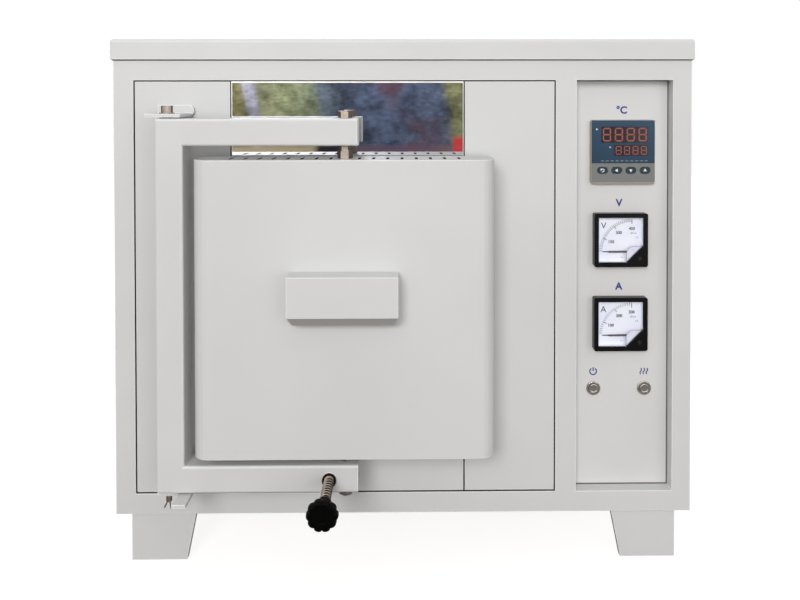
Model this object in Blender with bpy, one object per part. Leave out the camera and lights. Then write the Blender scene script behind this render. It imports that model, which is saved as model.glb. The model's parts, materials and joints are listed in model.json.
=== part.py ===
"""A floor-standing box furnace whose door hangs in a swinging yoke, at real size in metres.

The origin is on the floor, in the middle of the object's outline. +Z is up and -Y is the front.
Depths are measured from the front plane of the cabinet's frame: ahead() towards the viewer, behind() into it.
"""

import math

import bmesh
import bpy
from mathutils import Matrix, Vector

# Cabinet
BODY_WIDTH = 0.850
BODY_DEPTH = 0.650
BODY_HEIGHT = 0.670
FOOT_HEIGHT = 0.070
COVER_HEIGHT = 0.030
COVER_OVERHANG = 0.004
COVER_RADIUS = 0.004
SHEET = 0.0015
SEAT_GAP = 0.0003
CUT_OVERRUN = 0.002
SIDE_FLANGE = 0.040

# Front frame
MEMBER_WIDTH = 0.030
LEFT_MEMBER_WIDTH = 0.029
CENTRE_MEMBER_WIDTH = 0.031
RIGHT_MEMBER_WIDTH = 0.0275
CONTROL_WINDOW_WIDTH = 0.1425
FRAME_DEPTH = 0.030
LEDGE_WIDTH = 0.014
LEDGE_SETBACK = 0.0140
PANEL_SETBACK = 0.0015
PANEL_GAP = 0.0015
CONTROL_RECESS = 0.020

# Front panels of the furnace side
SHIELD_MARGIN = 0.0205
SHIELD_DROP = 0.0010
LOCK_HOLE_RADIUS = 0.006
LOCK_NUT_WIDTH = 0.019
LOCK_NUT_DEPTH = 0.008

# Feet
FOOT_INSET = 0.022
FOOT_FRONT_INSET = 0.003
FOOT_TOP_WIDTH = 0.095
FOOT_BOTTOM_WIDTH = 0.081
FOOT_SHEET = 0.003
FOOT_RETURN = 0.010
FOOT_FLANGE = 0.004

# Rear panel
LOUVRE_WIDTH = 0.110
LOUVRE_HEIGHT = 0.008
LOUVRE_PITCH = 0.022
LOUVRE_ROWS = 6
LOUVRE_REACH = 0.006
LOUVRE_LIP = 0.0012
GLAND_HOLE_RADIUS = 0.0105
GLAND_REACH = 0.028
GLAND_HEIGHT = 0.060
GLAND_HEXAGON = 0.0270
GLAND_CAP_HEXAGON = 0.0255
GLAND_COLLAR_RADIUS = 0.0108
GLAND_BORE_RADIUS = 0.0065
GLAND_NUT_THICKNESS = 0.0045
GLAND_SEAL_RADIUS = 0.0085
GLAND_LEVEL_SHARES = (0.28, 0.34, 0.66, 0.84, 0.50)

# Base pan and the two hat channels that carry the lining
PAN_FLANGE = 0.015
CHANNEL_WIDTH = 0.050
CHANNEL_SPACING_SHARE = 0.667

# Furnace chamber and its lining boards
LINING_THICKNESS = 0.100
REAR_SPACE = 0.085
MOUTH_THICKNESS = 0.060
MOUTH_STEP = 0.025
MOUTH_NECK_WALL = 0.012
HEARTH_THICKNESS = 0.012
HEARTH_MARGIN = 0.006

# Heating elements hung through the roof
ELEMENT_LEG_RADIUS = 0.006
ELEMENT_HOT_RADIUS = 0.003
ELEMENT_LEG_SPACING = 0.050
ELEMENT_WALL_GAP = 0.020
ELEMENT_ROW_SHARE = 0.45
ELEMENT_FLOOR_GAP = 0.030
ELEMENT_RISE = 0.045
ELEMENT_HOLE_GAP = 0.001
ELEMENT_CONE = 0.012

# Thermocouple through the rear wall
SHEATH_RADIUS = 0.004
SHEATH_TIP = 0.030
SHEATH_DROP = 0.045
HEAD_CHAMFER = 0.004
HEAD_RADIUS = 0.018
HEAD_LENGTH = 0.045
NECK_RADIUS = 0.007
NECK_LENGTH = 0.012

# Transformer on the base pan
CORE_WIDTH = 0.130
CORE_DEPTH = 0.075
CORE_HEIGHT = 0.120
COIL_BULGE = 0.022
COIL_WIDTH = 0.085
COIL_HEIGHT = 0.078
MOUNT_FOOT = 0.012
MOUNT_THICKNESS = 0.004
MOUNT_DEPTH = 0.045
TRANSFORMER_PLACE_SHARE = 0.46

# Yoke
TUBE = 0.038
TUBE_WALL = 0.0025
TUBE_RADIUS = 0.003
YOKE_AHEAD = 0.027
POST_GAP = 0.0142
ARM_OVERRUN = 0.0185
LOWER_ARM_GAP = 0.0155
UPPER_ARM_GAP = 0.0185

# Hinge brackets and pins
HINGE_SHIFT = 0.0080
HINGE_AXIS_AHEAD = 0.046
HINGE_GAP = 0.0015
BRACKET_LEFT_REACH = 0.0284
BRACKET_RIGHT_REACH = 0.0216
BRACKET_AHEAD = 0.058
BRACKET_THICKNESS = 0.005
BRACKET_FLANGE = 0.012
FLANGE_STEP = 0.0010
FLANGE_WIDEN = 0.0037
FLANGE_CORNER = 0.007
BRACKET_CORNER = 0.0015
LOWER_BRACKET_LEFT_REACH = 0.0117
TONGUE_OFFSET = 0.0170
TONGUE_WIDTH = 0.0190
TONGUE_AHEAD = 0.090
PIN_RADIUS = 0.005
PIN_CLEARANCE = 0.0003
PIN_HEAD_RADIUS = 0.008
PIN_HEAD_HEIGHT = 0.010
PIN_SOCKET_WIDTH = 0.008
PIN_SOCKET_DEPTH = 0.005
PIN_REACH = 0.012
PIN_COLLAR_RADIUS = 0.0105
PIN_COLLAR_HEIGHT = 0.0010
PIN_END_RADIUS = 0.0040
PIN_END_LENGTH = 0.0140
SPLIT_PIN_RADIUS = 0.0010
SPLIT_PIN_PLACE = 0.0095
SPLIT_PIN_LENGTH = 0.0150
SPLIT_PIN_ROOT = 0.0040
SPLIT_PIN_SPREAD_ANGLES = (math.radians(-27), math.radians(9))

# Door, placed by the room left round it in the left window
DOOR_ROOM_LEFT = 0.1055
DOOR_ROOM_RIGHT = 0.0985
DOOR_ROOM_BELOW = 0.089
DOOR_ROOM_ABOVE = 0.111
DOOR_FRONT = 0.079
DOOR_BACK = 0.008
DOOR_EDGE_RADIUS = 0.022
SLOT_COUNT = 17
SLOT_ROW_MARGIN = 0.048
SLOT_WIDTH = 0.005
SLOT_LENGTH = 0.036
SLOT_CORNER = 0.0022
SLOT_AHEAD = 0.045
DOOR_BOARD = 0.025

# Door plug, tapered so that it clears the mouth as the yoke swings
PLUG_MARGIN = 0.058
PLUG_REACH = 0.052
PLUG_TAPER_ANGLE = math.radians(22)
MOUTH_CLEARANCE = 0.005

# Pivot bolts that carry the door in the yoke
PIVOT_AHEAD = 0.046
PIVOT_HEAD_WIDTH = 0.0175
PIVOT_HEAD_HEIGHT = 0.0105
PIVOT_HEAD_CHAMFER = 0.0012
PIVOT_NUT_WIDTH = 0.0150
PIVOT_NUT_HEIGHT = 0.007
PIVOT_SPACER_WIDTH = 0.0190
PIVOT_REACH = 0.012

# Handle
HANDLE_WIDTH = 0.148
HANDLE_SHIFT = 0.0010
HANDLE_REACH = 0.033
HANDLE_FACE_HEIGHT = 0.054
HANDLE_RISE = 0.053
HANDLE_LIP_DROP = 0.014
HANDLE_LIP_BACK = 0.016
HANDLE_LIP_TAPER = 0.005
HANDLE_SHEET = 0.002

# Lock screw
LOCK_SHIFT = 0.0215
BUSH_RADIUS = 0.0095
BUSH_LENGTH = 0.0025
ROD_RADIUS = 0.004
ROD_TIP_AHEAD = 0.015
ROD_BORE_GAP = 0.0003
ROD_CHAMFER = 0.001
SPRING_RADIUS = 0.0075
SPRING_WIRE = 0.0016
SPRING_LENGTH = 0.0537
SPRING_COILS = 10
SPRING_END_PITCH = 0.0022
SPRING_POINTS_PER_COIL = 10
WASHER_RADIUS = 0.0090
WASHER_THICKNESS = 0.0015
KNOB_AHEAD = 0.092
KNOB_LOBES = 10
KNOB_STEPS_PER_LOBE = 6
KNOB_LOBE_SHARE = 0.13
KNOB_HUB_RADIUS = 0.0090
KNOB_HUB_LENGTH = 0.0100
KNOB_RADII = (0.0135, 0.0180, 0.0210, 0.0205, 0.0180)
KNOB_STEP_LENGTHS = (0.0065, 0.0055, 0.0050, 0.0035)
KNOB_BORE_DEPTH = 0.022
KNOB_DIMPLE_RADIUS = 0.008
KNOB_DIMPLE_DEPTH = 0.001

# Instruments on the control panel
METER_SHIFT = 0.0024
CONTROLLER_SHIFT = 0.0010
CONTROLLER_SIZE = 0.096
CONTROLLER_DROP = 0.107
CONTROLLER_AHEAD = 0.008
CONTROLLER_BODY = 0.0910
CONTROLLER_BODY_DEPTH = 0.080
CONTROLLER_CORNER = 0.004
CONTROLLER_BORDER = 0.0025
CONTROLLER_FACE_DEPTH = 0.0010
CUTOUT_CLEARANCE = 0.0005
KEY_COUNT = 4
KEY_PITCH = 0.0212
KEY_SHIFT = 0.0013
KEY_WIDTH = 0.0160
KEY_HEIGHT = 0.0100
KEY_THICKNESS = 0.0018
KEY_PROUD = 0.0006
KEY_TRAVEL = 0.0006
KEY_DROP = 0.0275
KEY_GAP = 0.0004
DISPLAY_DEPTH = 0.0012
MAIN_DISPLAY_WIDTH = 0.0705
MAIN_DISPLAY_HEIGHT = 0.0240
MAIN_DISPLAY_RISE = 0.0260
MAIN_DISPLAY_SHIFT = 0.0024
SET_DISPLAY_WIDTH = 0.0510
SET_DISPLAY_HEIGHT = 0.0160
SET_DISPLAY_RISE = 0.0025
SET_DISPLAY_SHIFT = 0.0121
METER_SIZE = 0.080
METER_AHEAD = 0.012
METER_CORNER = 0.003
METER_BORDER = 0.0065
METER_POCKET = 0.0100
METER_LEDGE = 0.0035
METER_CUT_CORNER = 0.0250
METER_BARREL_RADIUS = 0.033
METER_BARREL_DEPTH = 0.045
METER_GAP = 0.0004
DIAL_THICKNESS = 0.0010
WINDOW_THICKNESS = 0.0015
NEEDLE_PIVOT_OFFSET = 0.0185
NEEDLE_LENGTH = 0.0455
NEEDLE_WIDTH = 0.0012
NEEDLE_THICKNESS = 0.0008
NEEDLE_HUB_RADIUS = 0.0035
VOLTMETER_DROP = 0.1315
AMMETER_DROP = 0.1260
BUTTON_DROP = 0.0995
BUTTON_SPACING = 0.0768
BUTTON_RING_RADIUS = 0.0105
BUTTON_RING_AHEAD = 0.0030
BUTTON_CAP_RADIUS = 0.0070
BUTTON_CAP_AHEAD = 0.0045
BUTTON_BARREL_RADIUS = 0.0095
BUTTON_BARREL_DEPTH = 0.022
BUTTON_GAP = 0.0004
BUTTON_TRAVEL = 0.0030
BUTTON_CHAMFER = 0.0008
BUTTON_CAP_LENGTH = 0.0120

# Facets of round work
ROUND_STEPS = 24
SMALL_ROUND_STEPS = 12
HOLE_STEPS = 12
CORNER_STEPS = 3
EDGE_STEPS = 6
SMOOTH_ANGLE = math.radians(35)
ROUND_PROFILE_SHARE = 0.5

# Places worked out from the sizes above
BASE_Z = FOOT_HEIGHT
TOP_Z = BASE_Z + BODY_HEIGHT
HALF_WIDTH = BODY_WIDTH / 2
YOKE_FRONT = YOKE_AHEAD + TUBE
FRONT_REACH = YOKE_FRONT + KNOB_AHEAD
FRONT_Y = (FRONT_REACH - BODY_DEPTH - GLAND_REACH) / 2
WINDOW_BASE = BASE_Z + MEMBER_WIDTH
WINDOW_TOP = TOP_Z - MEMBER_WIDTH
RIGHT_WINDOW_END = HALF_WIDTH - RIGHT_MEMBER_WIDTH
RIGHT_WINDOW = (RIGHT_WINDOW_END - CONTROL_WINDOW_WIDTH, RIGHT_WINDOW_END)
LEFT_WINDOW = (-HALF_WIDTH + LEFT_MEMBER_WIDTH, RIGHT_WINDOW[0] - CENTRE_MEMBER_WIDTH)
DOOR_LEFT = LEFT_WINDOW[0] + DOOR_ROOM_LEFT
DOOR_RIGHT = LEFT_WINDOW[1] - DOOR_ROOM_RIGHT
DOOR_BASE = WINDOW_BASE + DOOR_ROOM_BELOW
DOOR_TOP = WINDOW_TOP - DOOR_ROOM_ABOVE
DOOR_CENTRE_X = (DOOR_LEFT + DOOR_RIGHT) / 2
DOOR_MIDDLE = (DOOR_BASE + DOOR_TOP) / 2
SLOT_PITCH = (DOOR_RIGHT - DOOR_LEFT - 2 * SLOT_ROW_MARGIN) / (SLOT_COUNT - 1)
PLUG_X = (DOOR_LEFT + PLUG_MARGIN, DOOR_RIGHT - PLUG_MARGIN)
PLUG_Z = (DOOR_BASE + PLUG_MARGIN, DOOR_TOP - PLUG_MARGIN)
HEAT_SHIELD = (PLUG_X[0] - SHIELD_MARGIN, PLUG_X[1] + SHIELD_MARGIN)
LEFT_PANEL = (LEFT_WINDOW[0] + PANEL_GAP, HEAT_SHIELD[0] - PANEL_GAP)
RIGHT_PANEL = (HEAT_SHIELD[1] + PANEL_GAP, LEFT_WINDOW[1] - PANEL_GAP)
PANEL_BASE = WINDOW_BASE + PANEL_GAP
PANEL_TOP = WINDOW_TOP - PANEL_GAP
SHIELD_BASE = DOOR_BASE - SHIELD_DROP
LOWER_PANEL_TOP = SHIELD_BASE - PANEL_GAP
POST_X = DOOR_LEFT - POST_GAP - TUBE / 2
ARM_END = DOOR_CENTRE_X + ARM_OVERRUN
LOWER_ARM_BASE = DOOR_BASE - LOWER_ARM_GAP - TUBE
UPPER_ARM_TOP = DOOR_TOP + UPPER_ARM_GAP + TUBE
HINGE_AXIS_X = POST_X - HINGE_SHIFT
LOCK_X = DOOR_CENTRE_X - LOCK_SHIFT
LOCK_Z = LOWER_ARM_BASE + TUBE / 2
CHAMBER_X = (PLUG_X[0] + MOUTH_STEP, PLUG_X[1] - MOUTH_STEP)
CHAMBER_Z = (PLUG_Z[0] + MOUTH_STEP, PLUG_Z[1] - MOUTH_STEP)
LINING_X = (CHAMBER_X[0] - LINING_THICKNESS, CHAMBER_X[1] + LINING_THICKNESS)
LINING_Z = (CHAMBER_Z[0] - LINING_THICKNESS, CHAMBER_Z[1] + LINING_THICKNESS)
CHANNEL_SPACING = (LINING_X[1] - LINING_X[0]) * CHANNEL_SPACING_SHARE
MOUTH_FRONT = PANEL_SETBACK + SHEET + SEAT_GAP
MOUTH_BACK = MOUTH_FRONT + MOUTH_THICKNESS
LINING_FRONT = MOUTH_BACK + SEAT_GAP
LINING_BACK = BODY_DEPTH - SHEET - REAR_SPACE
CHAMBER_BACK = LINING_BACK - LINING_THICKNESS
SHEATH_Z = CHAMBER_Z[1] - SHEATH_DROP
ELEMENT_ROW_SPACING = (CHAMBER_BACK - LINING_FRONT) * ELEMENT_ROW_SHARE
TRANSFORMER_PLACE = BODY_DEPTH * TRANSFORMER_PLACE_SHARE
PANEL_FACE = CONTROL_RECESS
COLUMN_X = sum(RIGHT_WINDOW) / 2
CONTROLLER_X = COLUMN_X + CONTROLLER_SHIFT
METER_X = COLUMN_X - METER_SHIFT
CONTROLLER_Z = WINDOW_TOP - CONTROLLER_DROP
VOLTMETER_Z = CONTROLLER_Z - VOLTMETER_DROP
AMMETER_Z = VOLTMETER_Z - AMMETER_DROP
BUTTON_Z = AMMETER_Z - BUTTON_DROP
KEY_X = CONTROLLER_X + KEY_SHIFT
KEY_Z = CONTROLLER_Z - KEY_DROP
CONTROLLER_FACE = PANEL_FACE - CONTROLLER_AHEAD
METER_FACE = PANEL_FACE - METER_AHEAD


def ahead(distance):
    """The Y of a place this far in front of the frame's front plane."""
    return FRONT_Y - distance


def behind(distance):
    """The Y of a place this far behind the frame's front plane."""
    return FRONT_Y + distance


# Finishes: colour as sRGB, roughness, metallic
FINISHES = {
    "powder_coat": ((0.80, 0.80, 0.79), 0.45, 0.0),
    "polished_steel": ((0.72, 0.73, 0.74), 0.08, 1.0),
    "bright_steel": ((0.60, 0.59, 0.57), 0.30, 1.0),
    "spring_steel": ((0.42, 0.38, 0.35), 0.35, 1.0),
    "black_plastic": ((0.03, 0.03, 0.035), 0.40, 0.0),
    "grey_plastic": ((0.56, 0.57, 0.56), 0.50, 0.0),
    "blue_film": ((0.13, 0.25, 0.38), 0.30, 0.0),
    "dial_white": ((0.88, 0.90, 0.97), 0.60, 0.0),
    "needle_black": ((0.02, 0.02, 0.02), 0.50, 0.0),
    "clear_cover": ((0.90, 0.93, 0.95), 0.05, 0.0),
    "ceramic_fibre": ((0.90, 0.89, 0.85), 0.95, 0.0),
    "ceramic": ((0.82, 0.78, 0.70), 0.70, 0.0),
    "element": ((0.28, 0.27, 0.27), 0.55, 0.2),
    "core_steel": ((0.20, 0.20, 0.21), 0.60, 0.5),
}
materials = {}
holders = {}


def clear_scene():
    for obj in list(bpy.data.objects):
        bpy.data.objects.remove(obj, do_unlink=True)


def to_linear(value):
    return value / 12.92 if value <= 0.04045 else ((value + 0.055) / 1.055) ** 2.4


def finish(name):
    """The named finish as a Principled material, made once."""
    if name not in materials:
        colour, roughness, metallic = FINISHES[name]
        made = bpy.data.materials.new(name)
        made.use_nodes = True
        shader = made.node_tree.nodes["Principled BSDF"]
        linear = [to_linear(value) for value in colour]
        shader.inputs["Base Color"].default_value = (*linear, 1)
        shader.inputs["Roughness"].default_value = roughness
        shader.inputs["Metallic"].default_value = metallic
        made.diffuse_color = (*linear, 1)
        materials[name] = made
    return materials[name]


def holder(name, at, parent=None):
    """An empty on a joint's axis, which the moving pieces are parented to."""
    empty = bpy.data.objects.new(name, None)
    bpy.context.scene.collection.objects.link(empty)
    empty.location = Vector(at)
    if parent:
        empty.parent = holders[parent][0]
        empty.location = Vector(at) - holders[parent][1]
    holders[name] = (empty, Vector(at))


def add(name, shape, look, origin=(0, 0, 0), parent=None, smooth=False):
    """An object from a shape in world space, with its own origin, parent empty and material."""
    at = holders[parent][1] if parent else Vector(origin)
    bmesh.ops.translate(shape, verts=shape.verts, vec=-at)
    bmesh.ops.recalc_face_normals(shape, faces=shape.faces)
    mesh = bpy.data.meshes.new(name)
    shape.to_mesh(mesh)
    shape.free()
    obj = bpy.data.objects.new(name, mesh)
    bpy.context.scene.collection.objects.link(obj)
    if parent:
        obj.parent = holders[parent][0]
    else:
        obj.location = at
    mesh.materials.append(finish(look))
    if smooth:
        mesh.shade_smooth()
        mesh.set_sharp_from_angle(angle=SMOOTH_ANGLE)
    return obj


def helper(target, name, shape, operation):
    """Cuts a shape from the target, or joins it on, with a Boolean whose tool stays out of the renders."""
    bmesh.ops.recalc_face_normals(shape, faces=shape.faces)
    mesh = bpy.data.meshes.new(name)
    shape.to_mesh(mesh)
    shape.free()
    tool = bpy.data.objects.new(name, mesh)
    bpy.context.scene.collection.objects.link(tool)
    tool.hide_render = True
    tool.display_type = "WIRE"
    modifier = target.modifiers.new(name, "BOOLEAN")
    modifier.operation = operation
    modifier.solver = "EXACT"
    modifier.object = tool


def cut(target, name, shape):
    helper(target, name, shape, "DIFFERENCE")


def join(target, name, shape):
    helper(target, name, shape, "UNION")


def merge(shapes):
    """Several shapes that don't meet, as one."""
    whole = bmesh.new()
    for shape in shapes:
        mesh = bpy.data.meshes.new("merge")
        shape.to_mesh(mesh)
        shape.free()
        whole.from_mesh(mesh)
        bpy.data.meshes.remove(mesh)
    return whole


def block(x, y, z):
    """A box between pairs of limits, in any order."""
    shape = bmesh.new()
    bmesh.ops.create_cube(shape, size=1)
    for axis, limits in enumerate((x, y, z)):
        middle, size = sum(limits) / 2, abs(limits[1] - limits[0])
        for vert in shape.verts:
            vert.co[axis] = middle + vert.co[axis] * size
    return shape


def prism(outline, axis, limits):
    """An outline carried along an axis. Its two coordinates are the other axes, in X, Y, Z order."""
    shape = bmesh.new()
    others = [i for i in range(3) if i != axis]
    rings = []
    for level in limits:
        ring = []
        for a, b in outline:
            place = Vector((0, 0, 0))
            place[axis], place[others[0]], place[others[1]] = level, a, b
            ring.append(shape.verts.new(place))
        rings.append(ring)
    close_rings(shape, rings)
    return shape


def close_rings(shape, rings):
    """Side faces between rings of as many points, and a cap on each end."""
    for low, high in zip(rings, rings[1:]):
        for i in range(len(low)):
            j = (i + 1) % len(low)
            shape.faces.new((low[i], low[j], high[j], high[i]))
    shape.faces.new(rings[0])
    shape.faces.new(rings[-1])


def arc(centre, radius, start, end, steps):
    """Points on an arc, both ends included, with angles in degrees."""
    points = []
    for i in range(steps + 1):
        angle = math.radians(start + (end - start) * i / steps)
        points.append((centre[0] + radius * math.cos(angle), centre[1] + radius * math.sin(angle)))
    return points


def rounded(x, y, radii, steps=CORNER_STEPS):
    """A rectangle's outline with a radius for each corner, anticlockwise from the lower left. 0 is sharp."""
    corners = (
        ((x[0], y[0]), (1, 1), 180),
        ((x[1], y[0]), (-1, 1), 270),
        ((x[1], y[1]), (-1, -1), 0),
        ((x[0], y[1]), (1, -1), 90),
    )
    points = []
    for (corner, inward, start), radius in zip(corners, radii):
        if radius > 0:
            centre = (corner[0] + inward[0] * radius, corner[1] + inward[1] * radius)
            points += arc(centre, radius, start, start + 90, steps)
        else:
            points.append(corner)
    return points


def around(middle, size):
    """The two limits of a length that is centred on a place."""
    return (middle - size / 2, middle + size / 2)


def ring_of(kind, size, steps):
    """Points round the axis: a circle of this radius, a hexagon of this width, or a star of this radius."""
    points = []
    for i in range(steps):
        angle = 2 * math.pi * i / steps
        radius = size
        if kind == "hexagon":
            radius = size / 2 / math.cos(angle % (math.pi / 3) - math.pi / 6)
        if kind == "star":
            wave = abs(math.cos(angle * KNOB_LOBES / 2))
            radius = size * (1 - KNOB_LOBE_SHARE * (1 - math.sqrt(wave)))
        points.append((radius * math.cos(angle), radius * math.sin(angle)))
    return points


def stack(levels, at, direction, steps=SMALL_ROUND_STEPS):
    """A turned or hexagonal solid from rings at heights along a direction, starting and ending in a cap.

    Each level is (kind, size, height). Rings at one height make a step, and one that comes back makes a bore.
    """
    shape = bmesh.new()
    turn = Vector((0, 0, 1)).rotation_difference(Vector(direction)).to_matrix()
    rings = []
    for kind, size, height in levels:
        ring = []
        for a, b in ring_of(kind, size, steps):
            ring.append(shape.verts.new(Vector(at) + turn @ Vector((a, b, height))))
        rings.append(ring)
    close_rings(shape, rings)
    return shape


def rod(radius, at, direction, start, end, steps=HOLE_STEPS):
    """A plain cylinder between two heights along a direction."""
    return stack([("circle", radius, start), ("circle", radius, end)], at, direction, steps)


def oval(centre, width, height):
    """An outline with round ends."""
    radius = height / 2
    reach = width / 2 - radius
    right = arc((centre[0] + reach, centre[1]), radius, -90, 90, EDGE_STEPS)
    left = arc((centre[0] - reach, centre[1]), radius, 90, 270, EDGE_STEPS)
    return right + left


def tray(name, x, z, look, back=LEDGE_SETBACK):
    """A folded sheet panel of the front: a face with its four edges turned back to the frame's ledge."""
    front, depth = behind(PANEL_SETBACK), behind(back - SEAT_GAP)
    panel = add(name, block(x, (front, depth), z), look, ((x[0] + x[1]) / 2, front, (z[0] + z[1]) / 2))
    hollow_x = (x[0] + SHEET, x[1] - SHEET)
    hollow_z = (z[0] + SHEET, z[1] - SHEET)
    cut(panel, f"{name}_hollow", block(hollow_x, (front + SHEET, depth + CUT_OVERRUN), hollow_z))
    return panel


def make_front_frame():
    """The welded front frame: two windows, and a ledge inside the left one that its panels rest on."""
    x, z = (-HALF_WIDTH, HALF_WIDTH), (BASE_Z, TOP_Z)
    frame = add("front_frame", block(x, (behind(0), behind(FRAME_DEPTH)), z), "powder_coat")
    window_z = (WINDOW_BASE, WINDOW_TOP)
    through = (ahead(CUT_OVERRUN), behind(FRAME_DEPTH + CUT_OVERRUN))
    cut(frame, "control_window", block(RIGHT_WINDOW, through, window_z))
    cut(frame, "panel_window", block(LEFT_WINDOW, (ahead(CUT_OVERRUN), behind(LEDGE_SETBACK)), window_z))
    inner_x = (LEFT_WINDOW[0] + LEDGE_WIDTH, LEFT_WINDOW[1] - LEDGE_WIDTH)
    inner_z = (WINDOW_BASE + LEDGE_WIDTH, WINDOW_TOP - LEDGE_WIDTH)
    cut(frame, "ledge_window", block(inner_x, (behind(LEDGE_SETBACK - CUT_OVERRUN), through[1]), inner_z))


def make_side_panels():
    """The two side sheets, each with a flange along its top and its base."""
    for side, name in ((-1, "side_panel_left"), (1, "side_panel_right")):
        outer, inner = side * HALF_WIDTH, side * (HALF_WIDTH - SHEET)
        tip = side * (HALF_WIDTH - SIDE_FLANGE)
        outline = [
            (outer, BASE_Z),
            (outer, TOP_Z),
            (tip, TOP_Z),
            (tip, TOP_Z - SHEET),
            (inner, TOP_Z - SHEET),
            (inner, BASE_Z + SHEET),
            (tip, BASE_Z + SHEET),
            (tip, BASE_Z),
        ]
        limits = (behind(FRAME_DEPTH + SEAT_GAP), behind(BODY_DEPTH - SHEET - SEAT_GAP))
        add(name, prism(outline, 1, limits), "powder_coat", (outer, limits[0], BASE_Z))


def make_rear_panel():
    """The rear sheet: two banks of lanced louvres, and a hole for the cable gland."""
    y = (behind(BODY_DEPTH - SHEET), behind(BODY_DEPTH))
    x = (-HALF_WIDTH, HALF_WIDTH)
    panel = add("rear_panel", block(x, y, (BASE_Z, TOP_Z)), "powder_coat", (0, y[0], BASE_Z))
    bank_base = DOOR_MIDDLE - LOUVRE_PITCH * (LOUVRE_ROWS - 1) / 2
    slots, lips = [], []
    for column_x in (COLUMN_X, DOOR_CENTRE_X):
        column = around(column_x, LOUVRE_WIDTH)
        for row in range(LOUVRE_ROWS):
            base = bank_base + row * LOUVRE_PITCH
            top = base + LOUVRE_HEIGHT
            slots.append(block(column, (y[0] - CUT_OVERRUN, y[1] + CUT_OVERRUN), (base, top)))
            root = y[1] - SHEET / 2
            tip = y[1] + LOUVRE_REACH
            hood = [(root, top), (root, top + LOUVRE_LIP), (y[1], top + LOUVRE_LIP)]
            hood += [(tip, base + LOUVRE_LIP), (tip, base), (tip - LOUVRE_LIP, base), (y[1], top)]
            lips.append(prism(hood, 0, column))
    cut(panel, "louvre_slots", merge(slots))
    join(panel, "louvre_hoods", merge(lips))
    gland = (COLUMN_X, y[0], BASE_Z + GLAND_HEIGHT)
    cut(panel, "gland_hole", rod(GLAND_HOLE_RADIUS, gland, (0, 1, 0), -CUT_OVERRUN, SHEET + CUT_OVERRUN))


def make_cable_gland():
    """The gland for the supply lead: a lock nut inside, a hexagon outside and a domed clamping nut."""
    at = (COLUMN_X, behind(BODY_DEPTH), BASE_Z + GLAND_HEIGHT)
    thread = GLAND_HOLE_RADIUS - SEAT_GAP
    body, collar, cap, dome, seal = [GLAND_REACH * share for share in GLAND_LEVEL_SHARES]
    inside = -SHEET - SEAT_GAP
    levels = [
        ("circle", GLAND_BORE_RADIUS, inside - GLAND_NUT_THICKNESS),
        ("hexagon", GLAND_HEXAGON, inside - GLAND_NUT_THICKNESS),
        ("hexagon", GLAND_HEXAGON, inside),
        ("circle", thread, inside),
        ("circle", thread, SEAT_GAP),
        ("hexagon", GLAND_HEXAGON, SEAT_GAP),
        ("hexagon", GLAND_HEXAGON, body),
        ("circle", GLAND_COLLAR_RADIUS, body),
        ("circle", GLAND_COLLAR_RADIUS, collar),
        ("hexagon", GLAND_CAP_HEXAGON, collar),
        ("hexagon", GLAND_CAP_HEXAGON, cap),
        ("circle", GLAND_COLLAR_RADIUS, dome),
        ("circle", GLAND_SEAL_RADIUS, GLAND_REACH),
        ("circle", GLAND_BORE_RADIUS, GLAND_REACH),
        ("circle", GLAND_BORE_RADIUS, seal),
    ]
    add("cable_gland", stack(levels, at, (0, 1, 0)), "black_plastic", at, smooth=True)


def make_top_cover():
    """The lid of the cabinet: a folded pan, open below, that overhangs the body all round."""
    x = (-HALF_WIDTH - COVER_OVERHANG, HALF_WIDTH + COVER_OVERHANG)
    y = (ahead(COVER_OVERHANG), behind(BODY_DEPTH + COVER_OVERHANG))
    low, high = TOP_Z + SEAT_GAP, TOP_Z + COVER_HEIGHT
    shape = block(x, y, (low, high))
    upper = [e for e in shape.edges if any(v.co.z > (low + high) / 2 for v in e.verts)]
    bmesh.ops.bevel(
        shape,
        geom=upper,
        offset=COVER_RADIUS,
        segments=CORNER_STEPS,
        profile=ROUND_PROFILE_SHARE,
        affect="EDGES",
    )
    cover = add("top_cover", shape, "powder_coat", (0, FRONT_Y, TOP_Z), smooth=True)
    inset = COVER_RADIUS
    hollow = block(
        (x[0] + inset, x[1] - inset), (y[0] + inset, y[1] - inset), (low - CUT_OVERRUN, high - SHEET)
    )
    cut(cover, "cover_hollow", hollow)


def foot_section(length, thickness):
    """An angle's outline with a return on each leg, from its outer corner."""
    inner = length - thickness
    return [
        (0, 0),
        (length, 0),
        (length, FOOT_RETURN),
        (inner, FOOT_RETURN),
        (inner, thickness),
        (thickness, thickness),
        (thickness, inner),
        (FOOT_RETURN, inner),
        (FOOT_RETURN, length),
        (0, length),
    ]


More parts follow.
